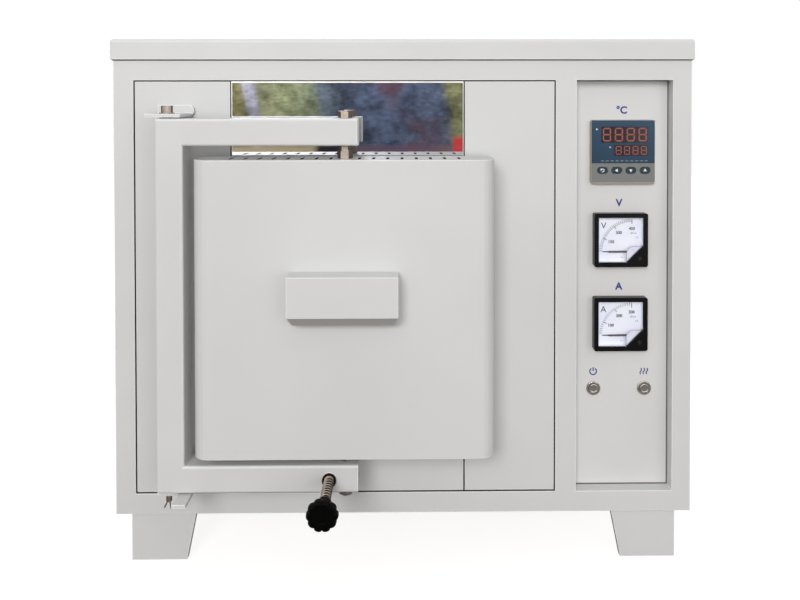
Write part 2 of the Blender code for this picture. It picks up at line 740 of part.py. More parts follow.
def make_feet():
    """Four folded corner feet whose legs narrow towards the floor, each with a flange under the body."""
    corner_x = HALF_WIDTH - FOOT_INSET
    front, back = behind(FOOT_FRONT_INSET), behind(BODY_DEPTH - FOOT_FRONT_INSET)
    places = {
        "foot_front_left": (-1, front, 1),
        "foot_front_right": (1, front, 1),
        "foot_rear_left": (-1, back, -1),
        "foot_rear_right": (1, back, -1),
    }
    top = BASE_Z - SEAT_GAP
    for name, (side, y, inward) in places.items():
        shape = bmesh.new()
        rings = []
        for length, z in ((FOOT_BOTTOM_WIDTH, 0), (FOOT_TOP_WIDTH, top)):
            ring = []
            for a, b in foot_section(length, FOOT_SHEET):
                ring.append(shape.verts.new((side * (corner_x - a), y + inward * b, z)))
            rings.append(ring)
        close_rings(shape, rings)
        foot = add(name, shape, "powder_coat", (side * corner_x, y, 0))
        inner = FOOT_TOP_WIDTH - FOOT_SHEET
        start = FOOT_SHEET / 2
        flange = [(start, start), (inner, start), (inner, FOOT_RETURN)]
        flange += [(FOOT_RETURN, inner), (start, inner)]
        placed = [(side * (corner_x - a), y + inward * b) for a, b in flange]
        join(foot, f"{name}_flange", prism(placed, 2, (top - FOOT_FLANGE, top)))


def make_base_pan():
    """The floor sheet of the cabinet, with two hat channels that carry the lining."""
    low = BASE_Z + SHEET + SEAT_GAP
    half = HALF_WIDTH - SHEET - SEAT_GAP
    y = (behind(FRAME_DEPTH + SEAT_GAP), behind(BODY_DEPTH - SHEET - SEAT_GAP))
    outline = [
        (-half, low),
        (half, low),
        (half, low + PAN_FLANGE),
        (half - SHEET, low + PAN_FLANGE),
        (half - SHEET, low + SHEET),
        (-half + SHEET, low + SHEET),
        (-half + SHEET, low + PAN_FLANGE),
        (-half, low + PAN_FLANGE),
    ]
    pan = add("base_pan", prism(outline, 1, y), "bright_steel", (0, y[0], low))
    top = LINING_Z[0] - SEAT_GAP
    channels = []
    for side in (-1, 1):
        left, right = around(DOOR_CENTRE_X + side * CHANNEL_SPACING / 2, CHANNEL_WIDTH)
        floor = low + SHEET / 2
        outline = [
            (left, floor),
            (left, top),
            (right, top),
            (right, floor),
            (right - SHEET, floor),
            (right - SHEET, top - SHEET),
            (left + SHEET, top - SHEET),
            (left + SHEET, floor),
        ]
        channels.append(prism(outline, 1, (behind(FRAME_DEPTH + SHEET), behind(LINING_BACK))))
    join(pan, "lining_channels", merge(channels))


def make_compartment_wall():
    """The sheet between the hot side and the electrical side."""
    middle = (LEFT_WINDOW[1] + RIGHT_WINDOW[0]) / 2
    low = BASE_Z + SHEET * 2 + SEAT_GAP * 2
    top = TOP_Z - SEAT_GAP
    outline = [
        (middle, low),
        (middle, top),
        (middle - PAN_FLANGE, top),
        (middle - PAN_FLANGE, top - SHEET),
        (middle - SHEET, top - SHEET),
        (middle - SHEET, low + SHEET),
        (middle - PAN_FLANGE, low + SHEET),
        (middle - PAN_FLANGE, low),
    ]
    limits = (behind(FRAME_DEPTH + SEAT_GAP), behind(BODY_DEPTH - SHEET - SEAT_GAP))
    add("compartment_wall", prism(outline, 1, limits), "bright_steel", (middle, limits[0], low))


def mouth_inset(depth):
    """How far the tapered mouth has closed in from the plug's outline, this far behind the front plane."""
    return (depth + DOOR_BACK) * math.tan(PLUG_TAPER_ANGLE) - MOUTH_CLEARANCE


def plug_solid(front, back, front_inset=0, back_inset=0):
    """A solid from the plug's outline, drawn in by an inset at each end."""
    shape = bmesh.new()
    rings = []
    for y, inset in ((front, front_inset), (back, back_inset)):
        x, z = (PLUG_X[0] + inset, PLUG_X[1] - inset), (PLUG_Z[0] + inset, PLUG_Z[1] - inset)
        corners = ((x[0], z[0]), (x[1], z[0]), (x[1], z[1]), (x[0], z[1]))
        rings.append([shape.verts.new((a, y, b)) for a, b in corners])
    close_rings(shape, rings)
    return shape


def make_front_panels():
    """The folded sheets of the furnace side: two painted sides, the polished heat shield and a low panel."""
    tray("left_front_panel", LEFT_PANEL, (PANEL_BASE, PANEL_TOP), "powder_coat")
    tray("right_front_panel", RIGHT_PANEL, (PANEL_BASE, PANEL_TOP), "powder_coat")
    shield = tray("heat_shield", HEAT_SHIELD, (SHIELD_BASE, PANEL_TOP), "polished_steel")
    inset = mouth_inset(PANEL_SETBACK)
    mouth = plug_solid(ahead(CUT_OVERRUN), behind(MOUTH_FRONT + CUT_OVERRUN), inset, inset)
    cut(shield, "shield_mouth", mouth)
    lower = tray("lower_front_panel", HEAT_SHIELD, (PANEL_BASE, LOWER_PANEL_TOP), "powder_coat")
    hole = (LOCK_X, behind(PANEL_SETBACK), LOCK_Z)
    nut = [
        ("hexagon", LOCK_NUT_WIDTH, SHEET / 2),
        ("hexagon", LOCK_NUT_WIDTH, SHEET + LOCK_NUT_DEPTH),
    ]
    join(lower, "lock_nut", stack(nut, hole, (0, 1, 0)))
    reach = SHEET + LOCK_NUT_DEPTH + CUT_OVERRUN
    cut(lower, "lock_hole", rod(LOCK_HOLE_RADIUS, hole, (0, 1, 0), -CUT_OVERRUN, reach))


def make_lining():
    """The furnace: a mouth block, the boards round the chamber, and the hearth plate."""
    y = (behind(LEDGE_SETBACK + SEAT_GAP), behind(MOUTH_BACK))
    centre = (DOOR_CENTRE_X, y[0], DOOR_MIDDLE)
    mouth = add("mouth_block", block(LINING_X, y, LINING_Z), "ceramic_fibre", centre)
    neck = plug_solid(behind(MOUTH_FRONT), y[0] + CUT_OVERRUN, -MOUTH_NECK_WALL, -MOUTH_NECK_WALL)
    join(mouth, "mouth_neck", neck)
    start, end = MOUTH_FRONT - CUT_OVERRUN, MOUTH_BACK + CUT_OVERRUN
    cut(mouth, "mouth_taper", plug_solid(behind(start), behind(end), mouth_inset(start), mouth_inset(end)))

    y = (behind(LINING_FRONT), behind(LINING_BACK))
    board = (DOOR_CENTRE_X, y[0], DOOR_MIDDLE)
    add("lining_floor", block(LINING_X, y, (LINING_Z[0], CHAMBER_Z[0])), "ceramic_fibre", board)
    roof = add("lining_roof", block(LINING_X, y, (CHAMBER_Z[1], LINING_Z[1])), "ceramic_fibre", board)
    holes = []
    reach = LINING_THICKNESS + CUT_OVERRUN
    for x, leg_y in element_legs():
        at = (x, leg_y, CHAMBER_Z[1])
        radius = ELEMENT_LEG_RADIUS + ELEMENT_HOLE_GAP
        holes.append(rod(radius, at, (0, 0, 1), -CUT_OVERRUN, reach))
    cut(roof, "element_holes", merge(holes))

    back = behind(CHAMBER_BACK)
    outline = [
        (LINING_X[0], y[0]),
        (LINING_X[0], y[1]),
        (LINING_X[1], y[1]),
        (LINING_X[1], y[0]),
        (CHAMBER_X[1], y[0]),
        (CHAMBER_X[1], back),
        (CHAMBER_X[0], back),
        (CHAMBER_X[0], y[0]),
    ]
    height = (CHAMBER_Z[0] + SEAT_GAP, CHAMBER_Z[1] - SEAT_GAP)
    walls = add("lining_walls", prism(outline, 2, height), "ceramic_fibre", board)
    at = (DOOR_CENTRE_X, back, SHEATH_Z)
    cut(walls, "sheath_hole", rod(SHEATH_RADIUS + ROD_BORE_GAP, at, (0, 1, 0), -CUT_OVERRUN, reach))
    plate_x = (CHAMBER_X[0] + HEARTH_MARGIN, CHAMBER_X[1] - HEARTH_MARGIN)
    plate_y = (y[0] + HEARTH_MARGIN, back - HEARTH_MARGIN)
    low = CHAMBER_Z[0] + SEAT_GAP
    plate = block(plate_x, plate_y, (low, low + HEARTH_THICKNESS))
    add("hearth_plate", plate, "ceramic", (DOOR_CENTRE_X, plate_y[0], low))


def element_places():
    """The X of each element and the Y of its middle, a pair along each side wall."""
    middle_y = behind((LINING_FRONT + CHAMBER_BACK) / 2)
    places = []
    for x in (CHAMBER_X[0] + ELEMENT_WALL_GAP, CHAMBER_X[1] - ELEMENT_WALL_GAP):
        for row in (-1, 1):
            places.append((x, middle_y + row * ELEMENT_ROW_SPACING / 2))
    return places


def element_legs():
    """The place of every element leg, seen from above."""
    legs = []
    for x, y in element_places():
        legs += [(x, y - ELEMENT_LEG_SPACING / 2), (x, y + ELEMENT_LEG_SPACING / 2)]
    return legs


def make_elements():
    """Four hairpin elements: thick cold legs through the roof, and a thin hot loop in the chamber."""
    steps = 8
    for number, (x, middle_y) in enumerate(element_places(), start=1):
        half = ELEMENT_LEG_SPACING / 2
        top = LINING_Z[1] + ELEMENT_RISE
        cone = CHAMBER_Z[1] - SEAT_GAP
        bend = CHAMBER_Z[0] + HEARTH_THICKNESS + ELEMENT_FLOOR_GAP + half
        route = [(-half, top, ELEMENT_LEG_RADIUS), (-half, cone, ELEMENT_LEG_RADIUS)]
        route.append((-half, cone - ELEMENT_CONE, ELEMENT_HOT_RADIUS))
        for a, b in arc((0, bend), half, 180, 360, EDGE_STEPS + 2):
            route.append((a, b, ELEMENT_HOT_RADIUS))
        route.append((half, cone - ELEMENT_CONE, ELEMENT_HOT_RADIUS))
        route += [(half, cone, ELEMENT_LEG_RADIUS), (half, top, ELEMENT_LEG_RADIUS)]
        shape = bmesh.new()
        rings = []
        for i, (a, b, radius) in enumerate(route):
            before, after = route[max(i - 1, 0)], route[min(i + 1, len(route) - 1)]
            along = Vector((0, after[0] - before[0], after[1] - before[1])).normalized()
            across = Vector((1, 0, 0))
            up = along.cross(across)
            ring = []
            for k in range(steps):
                angle = 2 * math.pi * k / steps
                offset = across * math.cos(angle) + up * math.sin(angle)
                ring.append(shape.verts.new(Vector((x, middle_y + a, b)) + offset * radius))
            rings.append(ring)
        close_rings(shape, rings)
        add(f"heating_element_{number}", shape, "element", (x, middle_y, top), smooth=True)


def make_thermocouple():
    """A ceramic sheath through the rear wall, with its connection head behind."""
    at = (DOOR_CENTRE_X, behind(CHAMBER_BACK), SHEATH_Z)
    wall = LINING_THICKNESS + SEAT_GAP
    head = wall + NECK_LENGTH
    levels = [
        ("circle", SHEATH_RADIUS / 2, -SHEATH_TIP),
        ("circle", SHEATH_RADIUS, -SHEATH_TIP + SHEATH_RADIUS / 2),
        ("circle", SHEATH_RADIUS, wall),
        ("circle", NECK_RADIUS, wall),
        ("circle", NECK_RADIUS, head),
        ("circle", HEAD_RADIUS, head),
        ("circle", HEAD_RADIUS, head + HEAD_LENGTH - HEAD_CHAMFER),
        ("circle", HEAD_RADIUS - HEAD_CHAMFER, head + HEAD_LENGTH),
    ]
    add("thermocouple", stack(levels, at, (0, 1, 0)), "ceramic", at, smooth=True)


def make_transformer():
    """The low-voltage transformer: a laminated core, a coil that stands out of it, and mounting feet."""
    x = COLUMN_X
    low = BASE_Z + SHEET * 2 + SEAT_GAP * 2
    y = behind(TRANSFORMER_PLACE)
    middle_z = low + MOUNT_THICKNESS + CORE_HEIGHT / 2
    core_z = (low + MOUNT_THICKNESS / 2, low + MOUNT_THICKNESS + CORE_HEIGHT)
    core = block(around(x, CORE_WIDTH), around(y, CORE_DEPTH), core_z)
    body = add("power_transformer", core, "core_steel", (x, y, low))
    coil = rounded(around(x, COIL_WIDTH), around(y, CORE_DEPTH + 2 * COIL_BULGE), [COIL_BULGE] * 4)
    join(body, "transformer_coil", prism(coil, 2, around(middle_z, COIL_HEIGHT)))
    feet = around(x, CORE_WIDTH + 2 * MOUNT_FOOT)
    join(body, "transformer_feet", block(feet, around(y, MOUNT_DEPTH), (low, low + MOUNT_THICKNESS)))


def make_control_panel():
    """The set-back instrument panel, with its cut-outs."""
    x = (RIGHT_WINDOW[0] + SEAT_GAP, RIGHT_WINDOW[1] - SEAT_GAP)
    z = (WINDOW_BASE + SEAT_GAP, WINDOW_TOP - SEAT_GAP)
    y = (behind(PANEL_FACE), behind(FRAME_DEPTH))
    panel = add("control_panel", block(x, y, z), "powder_coat", (sum(x) / 2, y[0], z[0]))
    hollow_x, hollow_z = (x[0] + SHEET, x[1] - SHEET), (z[0] + SHEET, z[1] - SHEET)
    cut(panel, "panel_hollow", block(hollow_x, (y[0] + SHEET, y[1] + CUT_OVERRUN), hollow_z))
    through = (y[0] - CUT_OVERRUN, y[0] + SHEET + CUT_OVERRUN)
    body = CONTROLLER_BODY + 2 * CUTOUT_CLEARANCE
    holes = [block(around(CONTROLLER_X, body), through, around(CONTROLLER_Z, body))]
    round_holes = [(METER_X, height, METER_BARREL_RADIUS) for height in (VOLTMETER_Z, AMMETER_Z)]
    for side in (-1, 1):
        round_holes.append((METER_X + side * BUTTON_SPACING / 2, BUTTON_Z, BUTTON_BARREL_RADIUS))
    for hole_x, hole_z, radius in round_holes:
        at = (hole_x, y[0], hole_z)
        reach = SHEET + CUT_OVERRUN
        holes.append(rod(radius + CUTOUT_CLEARANCE, at, (0, 1, 0), -CUT_OVERRUN, reach, ROUND_STEPS))
    cut(panel, "panel_cutouts", merge(holes))


def make_controller():
    """The square controller: a moulded bezel, a sunk face with two displays, and four oval keys."""
    face = CONTROLLER_FACE
    x, z = around(CONTROLLER_X, CONTROLLER_SIZE), around(CONTROLLER_Z, CONTROLLER_SIZE)
    seat = behind(PANEL_FACE - SEAT_GAP)
    bezel = prism(rounded(x, z, [CONTROLLER_CORNER] * 4), 1, (behind(face), seat))
    front = [e for e in bezel.edges if all(v.co.y < (behind(face) + seat) / 2 for v in e.verts)]
    bmesh.ops.bevel(bezel, geom=front, offset=CONTROLLER_FACE_DEPTH, segments=1, affect="EDGES")
    case = add("controller_case", bezel, "grey_plastic", (CONTROLLER_X, behind(face), CONTROLLER_Z))
    body_x, body_z = around(CONTROLLER_X, CONTROLLER_BODY), around(CONTROLLER_Z, CONTROLLER_BODY)
    body = block(body_x, (seat - SHEET, behind(PANEL_FACE + CONTROLLER_BODY_DEPTH)), body_z)
    join(case, "controller_body", body)
    sunk = CONTROLLER_SIZE - 2 * CONTROLLER_BORDER
    sunk_y = (behind(face) - CUT_OVERRUN, behind(face + CONTROLLER_FACE_DEPTH))
    sunk_x, sunk_z = around(CONTROLLER_X, sunk), around(CONTROLLER_Z, sunk)
    outline = rounded(sunk_x, sunk_z, [CONTROLLER_FACE_DEPTH] * 4, 1)
    cut(case, "controller_sunk_face", prism(outline, 1, sunk_y))
    deep_y = (behind(face), behind(face + CONTROLLER_FACE_DEPTH + DISPLAY_DEPTH))
    main_x = around(CONTROLLER_X + MAIN_DISPLAY_SHIFT, MAIN_DISPLAY_WIDTH)
    main_z = around(CONTROLLER_Z + MAIN_DISPLAY_RISE, MAIN_DISPLAY_HEIGHT)
    set_x = around(CONTROLLER_X + SET_DISPLAY_SHIFT, SET_DISPLAY_WIDTH)
    set_z = around(CONTROLLER_Z + SET_DISPLAY_RISE, SET_DISPLAY_HEIGHT)
    pockets = [block(main_x, deep_y, main_z), block(set_x, deep_y, set_z)]
    key_base = face + CONTROLLER_FACE_DEPTH + KEY_THICKNESS - KEY_PROUD + KEY_TRAVEL + KEY_GAP
    first = KEY_X - (KEY_COUNT - 1) * KEY_PITCH / 2
    centres = [(first + number * KEY_PITCH, KEY_Z) for number in range(KEY_COUNT)]
    for centre in centres:
        outline = oval(centre, KEY_WIDTH + 2 * KEY_GAP, KEY_HEIGHT + 2 * KEY_GAP)
        pockets.append(prism(outline, 1, (behind(face), behind(key_base))))
    cut(case, "controller_pockets", merge(pockets))
    front_y = behind(face + CONTROLLER_FACE_DEPTH - KEY_PROUD)
    for centre, word in zip(centres, ("set", "left", "down", "up")):
        name = f"controller_key_{word}"
        holder(f"{name}_slide", (centre[0], front_y, centre[1]))
        key = prism(oval(centre, KEY_WIDTH, KEY_HEIGHT), 1, (front_y, front_y + KEY_THICKNESS))
        add(name, key, "black_plastic", parent=f"{name}_slide", smooth=True)


def meter_outline(middle_z, size, corner):
    """A square that loses its lower right corner."""
    x, z = around(METER_X, size), around(middle_z, size)
    return [(x[0], z[0]), (x[1] - corner, z[0]), (x[1], z[0] + corner), (x[1], z[1]), (x[0], z[1])]


def make_meter(name, middle_z):
    """A square panel meter: case, dial, needle and clear cover, with a solid corner over the pivot."""
    face, seat = behind(METER_FACE), behind(PANEL_FACE - SEAT_GAP)
    x, z = around(METER_X, METER_SIZE), around(middle_z, METER_SIZE)
    bezel = prism(rounded(x, z, [METER_CORNER] * 4), 1, (face, seat))
    centre = (METER_X, face, middle_z)
    case = add(f"{name}_case", bezel, "black_plastic", centre)
    barrel = rod(
        METER_BARREL_RADIUS, (METER_X, seat, middle_z), (0, 1, 0), -SHEET, METER_BARREL_DEPTH, ROUND_STEPS
    )
    join(case, f"{name}_barrel", barrel)
    pocket = METER_SIZE - 2 * METER_BORDER
    deep = block(
        around(METER_X, pocket), (face + METER_LEDGE, face + METER_POCKET), around(middle_z, pocket)
    )
    cut(case, f"{name}_pocket", deep)
    through = (face - CUT_OVERRUN, face + METER_LEDGE * 2)
    opening = prism(meter_outline(middle_z, pocket, METER_CUT_CORNER), 1, through)
    cut(case, f"{name}_opening", opening)
    dial_size = pocket - 2 * METER_GAP
    dial_y = (face + METER_POCKET - SEAT_GAP - DIAL_THICKNESS, face + METER_POCKET - SEAT_GAP)
    dial = block(around(METER_X, dial_size), dial_y, around(middle_z, dial_size))
    add(f"{name}_dial", dial, "dial_white", (METER_X, dial_y[0], middle_z))
    pane_y = (face + WINDOW_THICKNESS / 2, face + WINDOW_THICKNESS * 3 / 2)
    pane = prism(meter_outline(middle_z, dial_size, METER_CUT_CORNER), 1, pane_y)
    add(f"{name}_window", pane, "clear_cover", (METER_X, pane_y[0], middle_z))
    pivot = (METER_X + NEEDLE_PIVOT_OFFSET, middle_z - NEEDLE_PIVOT_OFFSET)
    needle_y = dial_y[0] - SEAT_GAP * 2 - NEEDLE_THICKNESS
    holder(f"{name}_pivot", (pivot[0], needle_y, pivot[1]))
    hub = arc((0, 0), NEEDLE_HUB_RADIUS, 150, -150, SMALL_ROUND_STEPS)
    half = NEEDLE_WIDTH / 2
    outline = [(-NEEDLE_LENGTH, 0), (-NEEDLE_LENGTH + NEEDLE_WIDTH * 2, half)] + hub
    outline.append((-NEEDLE_LENGTH + NEEDLE_WIDTH * 2, -half))
    placed = [(pivot[0] + a, pivot[1] + b) for a, b in outline]
    needle = prism(placed, 1, (needle_y, needle_y + NEEDLE_THICKNESS))
    add(f"{name}_needle", needle, "needle_black", parent=f"{name}_pivot")


def make_button(name, x):
    """A chromed push button: a flanged barrel through the panel and a cap that travels in it."""
    at = (x, behind(PANEL_FACE), BUTTON_Z)
    bore = BUTTON_CAP_RADIUS + BUTTON_GAP
    floor = BUTTON_CAP_AHEAD - BUTTON_CAP_LENGTH - BUTTON_TRAVEL - BUTTON_GAP
    levels = [
        ("circle", BUTTON_BARREL_RADIUS, -BUTTON_BARREL_DEPTH),
        ("circle", BUTTON_BARREL_RADIUS, SEAT_GAP),
        ("circle", BUTTON_RING_RADIUS, SEAT_GAP),
        ("circle", BUTTON_RING_RADIUS, BUTTON_RING_AHEAD - BUTTON_CHAMFER),
        ("circle", BUTTON_RING_RADIUS - BUTTON_CHAMFER, BUTTON_RING_AHEAD),
        ("circle", bore, BUTTON_RING_AHEAD),
        ("circle", bore, floor),
    ]
    add(f"{name}_ring", stack(levels, at, (0, -1, 0), ROUND_STEPS), "bright_steel", at, smooth=True)
    front = (x, ahead(BUTTON_CAP_AHEAD - PANEL_FACE), BUTTON_Z)
    holder(f"{name}_slide", front)
    inner = BUTTON_CAP_RADIUS - BUTTON_CHAMFER
    levels = [
        ("circle", BUTTON_CAP_RADIUS, BUTTON_CAP_LENGTH),
        ("circle", BUTTON_CAP_RADIUS, BUTTON_CHAMFER),
        ("circle", inner, 0),
        ("circle", inner - BUTTON_CHAMFER, 0),
        ("circle", inner - 2 * BUTTON_CHAMFER, BUTTON_CHAMFER),
    ]
    cap = stack(levels, front, (0, 1, 0), ROUND_STEPS)
    add(f"{name}_cap", cap, "bright_steel", parent=f"{name}_slide", smooth=True)


def make_brackets():
    """The two hinge brackets. The lower one has a tongue that reaches forward past the yoke."""
    seat_y = behind(PANEL_SETBACK - SEAT_GAP)
    back = seat_y - BRACKET_THICKNESS / 2
    edge = BRACKET_CORNER
    left, right = HINGE_AXIS_X - BRACKET_LEFT_REACH, HINGE_AXIS_X + BRACKET_RIGHT_REACH
    upper = rounded((left, right), (ahead(BRACKET_AHEAD), back), [edge, edge, 0, 0], 2)
    tongue = (HINGE_AXIS_X + TONGUE_OFFSET, HINGE_AXIS_X + TONGUE_OFFSET + TONGUE_WIDTH)
    lower_left = HINGE_AXIS_X - LOWER_BRACKET_LEFT_REACH
    lower = [
        (lower_left, ahead(BRACKET_AHEAD)),
        (tongue[0], ahead(BRACKET_AHEAD)),
        (tongue[0], ahead(TONGUE_AHEAD)),
        (tongue[1], ahead(TONGUE_AHEAD)),
        (tongue[1], back),
        (lower_left, back),
    ]
    upper_low = UPPER_ARM_TOP + HINGE_GAP
    lower_low = LOWER_ARM_BASE - HINGE_GAP - BRACKET_THICKNESS
    round_end = [0, FLANGE_CORNER, FLANGE_CORNER, 0]
    flanges = {
        "upper": (
            (left + FLANGE_STEP, right + FLANGE_WIDEN),
            (upper_low + FLANGE_STEP, upper_low + BRACKET_THICKNESS + BRACKET_FLANGE),
        ),
        "lower": (
            (lower_left + FLANGE_STEP, tongue[1] - FLANGE_STEP),
            (lower_low - BRACKET_FLANGE, lower_low + BRACKET_THICKNESS - FLANGE_STEP),
        ),
    }
    for word, outline, low in (("upper", upper, upper_low), ("lower", lower, lower_low)):
        name = f"{word}_hinge_bracket"
        at = (HINGE_AXIS_X, ahead(HINGE_AXIS_AHEAD), low)
        bracket = add(name, prism(outline, 2, (low, low + BRACKET_THICKNESS)), "powder_coat", at)
        x, z = flanges[word]
        corners = round_end if word == "upper" else [0, 0, 0, 0]
        flange = prism(rounded(x, z, corners), 1, (seat_y - BRACKET_THICKNESS, seat_y))
        join(bracket, f"{name}_flange", flange)
        reach = BRACKET_THICKNESS + CUT_OVERRUN
        cut(bracket, f"{name}_hole", rod(PIN_RADIUS + PIN_CLEARANCE, at, (0, 0, 1), -CUT_OVERRUN, reach))


def make_hinge_pins():
    """The pins that the yoke's post turns on: one with a socket head, and one held by a split pin."""
    shank = BRACKET_THICKNESS + HINGE_GAP + TUBE_WALL + PIN_REACH + SEAT_GAP
    collar = PIN_COLLAR_HEIGHT
    levels = [
        ("circle", PIN_RADIUS - ROD_CHAMFER, -shank),
        ("circle", PIN_RADIUS, -shank + ROD_CHAMFER),
        ("circle", PIN_RADIUS, 0),
        ("circle", PIN_COLLAR_RADIUS, 0),
        ("circle", PIN_COLLAR_RADIUS, collar),
    ]
    head = collar + PIN_HEAD_HEIGHT
    socket_head = [
        ("circle", PIN_HEAD_RADIUS, collar),
        ("circle", PIN_HEAD_RADIUS, head),
        ("hexagon", PIN_SOCKET_WIDTH, head),
        ("hexagon", PIN_SOCKET_WIDTH, head - PIN_SOCKET_DEPTH),
    ]
    plate = HINGE_GAP + BRACKET_THICKNESS + SEAT_GAP
    at = (HINGE_AXIS_X, ahead(HINGE_AXIS_AHEAD), UPPER_ARM_TOP + plate)
    add("upper_hinge_pin", stack(levels + socket_head, at, (0, 0, 1)), "bright_steel", at, smooth=True)
    end = [
        ("circle", PIN_END_RADIUS, collar),
        ("circle", PIN_END_RADIUS, PIN_END_LENGTH - ROD_CHAMFER),
        ("circle", PIN_END_RADIUS - ROD_CHAMFER, PIN_END_LENGTH),
    ]
    at = (HINGE_AXIS_X, ahead(HINGE_AXIS_AHEAD), LOWER_ARM_BASE - plate)
    pin = add("lower_hinge_pin", stack(levels + end, at, (0, 0, -1)), "bright_steel", at, smooth=True)
    cross = (at[0], at[1], at[2] - SPLIT_PIN_PLACE)
    for number, angle in enumerate(SPLIT_PIN_SPREAD_ANGLES):
        along = (math.sin(angle), 0, -math.cos(angle))
        leg = rod(SPLIT_PIN_RADIUS, cross, along, -SPLIT_PIN_ROOT, SPLIT_PIN_LENGTH, EDGE_STEPS)
        join(pin, f"split_pin_leg_{number}", leg)


def tube_path(inset):
    """The corners of the yoke's centre line, in X and Z, with its ends drawn in by an inset."""
    post = POST_X
    low, high = LOWER_ARM_BASE + TUBE / 2, UPPER_ARM_TOP - TUBE / 2
    end = ARM_END - inset
    return [(end, high), (post, high), (post, low), (end, low)]


def tube_sweep(section, inset):
    """A square tube's skin along the yoke's path, with mitred corners."""
    shape = bmesh.new()
    path = [Vector(point) for point in tube_path(inset)]
    middle_y = ahead(YOKE_AHEAD + TUBE / 2)
    rings = []
    for i, corner in enumerate(path):
        normals = []
        for a, b in ((i - 1, i), (i, i + 1)):
            if a >= 0 and b < len(path):
                along = (path[b] - path[a]).normalized()
                normals.append(Vector((-along.y, along.x)))
        offset = sum(normals, Vector((0, 0)))
        ring = []
        for u, v in section:
            place = corner + offset * u
            ring.append(shape.verts.new((place.x, middle_y + v, place.y)))
        rings.append(ring)
    close_rings(shape, rings)
    return shape


def make_yoke():
    """The yoke: square tube in a C, hollow, with closed arm ends and a welded bush for the lock screw."""
    holder("yoke_axis", (HINGE_AXIS_X, ahead(HINGE_AXIS_AHEAD), LOCK_Z))
    limits = around(0, TUBE)
    outer = tube_sweep(rounded(limits, limits, [TUBE_RADIUS] * 4, 2), 0)
    yoke = add("yoke_frame", outer, "powder_coat", parent="yoke_axis")
    limits = around(0, TUBE - 2 * TUBE_WALL)
    cut(yoke, "yoke_hollow", tube_sweep(rounded(limits, limits, [0] * 4), TUBE_WALL))
    front = (LOCK_X, ahead(YOKE_FRONT), LOCK_Z)
    bush = rod(BUSH_RADIUS, front, (0, -1, 0), -TUBE_WALL / 2, BUSH_LENGTH, ROUND_STEPS)
    join(yoke, "lock_bush", bush)
    clearance = PIN_RADIUS + PIN_CLEARANCE
    bore = ROD_RADIUS + ROD_BORE_GAP
    holes = [rod(bore, front, (0, -1, 0), -TUBE - CUT_OVERRUN, BUSH_LENGTH + CUT_OVERRUN)]
    for z in (LOWER_ARM_BASE, UPPER_ARM_TOP - TUBE_WALL):
        pin = (HINGE_AXIS_X, ahead(HINGE_AXIS_AHEAD), z)
        holes.append(rod(clearance, pin, (0, 0, 1), -CUT_OVERRUN, TUBE_WALL + CUT_OVERRUN))
    for z in (LOWER_ARM_BASE, UPPER_ARM_TOP - TUBE):
        pivot = (DOOR_CENTRE_X, ahead(PIVOT_AHEAD), z)
        holes.append(rod(clearance, pivot, (0, 0, 1), -CUT_OVERRUN, TUBE + CUT_OVERRUN))
    cut(yoke, "yoke_holes", merge(holes))


def make_pivot_bolts():
    """The two bolts that the door turns on, each with its nuts between the arm and the door."""
    places = (("upper", UPPER_ARM_TOP, DOOR_TOP, 1), ("lower", LOWER_ARM_BASE, DOOR_BASE, -1))
    for word, arm, door, up in places:
        gap = abs(arm - door) - TUBE
        arm_side = TUBE + SEAT_GAP
        nut = arm_side + PIVOT_NUT_HEIGHT
        door_side = TUBE + gap - SEAT_GAP
        tip = TUBE + gap + PIVOT_REACH
        levels = [
            ("circle", PIN_RADIUS - ROD_CHAMFER, -tip),
            ("circle", PIN_RADIUS, -tip + ROD_CHAMFER),
            ("circle", PIN_RADIUS, -door_side),
            ("hexagon", PIVOT_SPACER_WIDTH, -door_side),
            ("hexagon", PIVOT_SPACER_WIDTH, -nut),
            ("hexagon", PIVOT_NUT_WIDTH, -nut),
            ("hexagon", PIVOT_NUT_WIDTH, -arm_side),
            ("circle", PIN_RADIUS, -arm_side),
            ("circle", PIN_RADIUS, SEAT_GAP),
            ("hexagon", PIVOT_HEAD_WIDTH, SEAT_GAP),
            ("hexagon", PIVOT_HEAD_WIDTH, PIVOT_HEAD_HEIGHT - PIVOT_HEAD_CHAMFER),
            ("circle", PIVOT_HEAD_WIDTH / 2 - PIVOT_HEAD_CHAMFER, PIVOT_HEAD_HEIGHT),
        ]
        at = (DOOR_CENTRE_X, ahead(PIVOT_AHEAD), arm)
        bolt = stack(levels, at, (0, 0, up))
        add(f"{word}_pivot_bolt", bolt, "bright_steel", parent="yoke_axis", smooth=True)


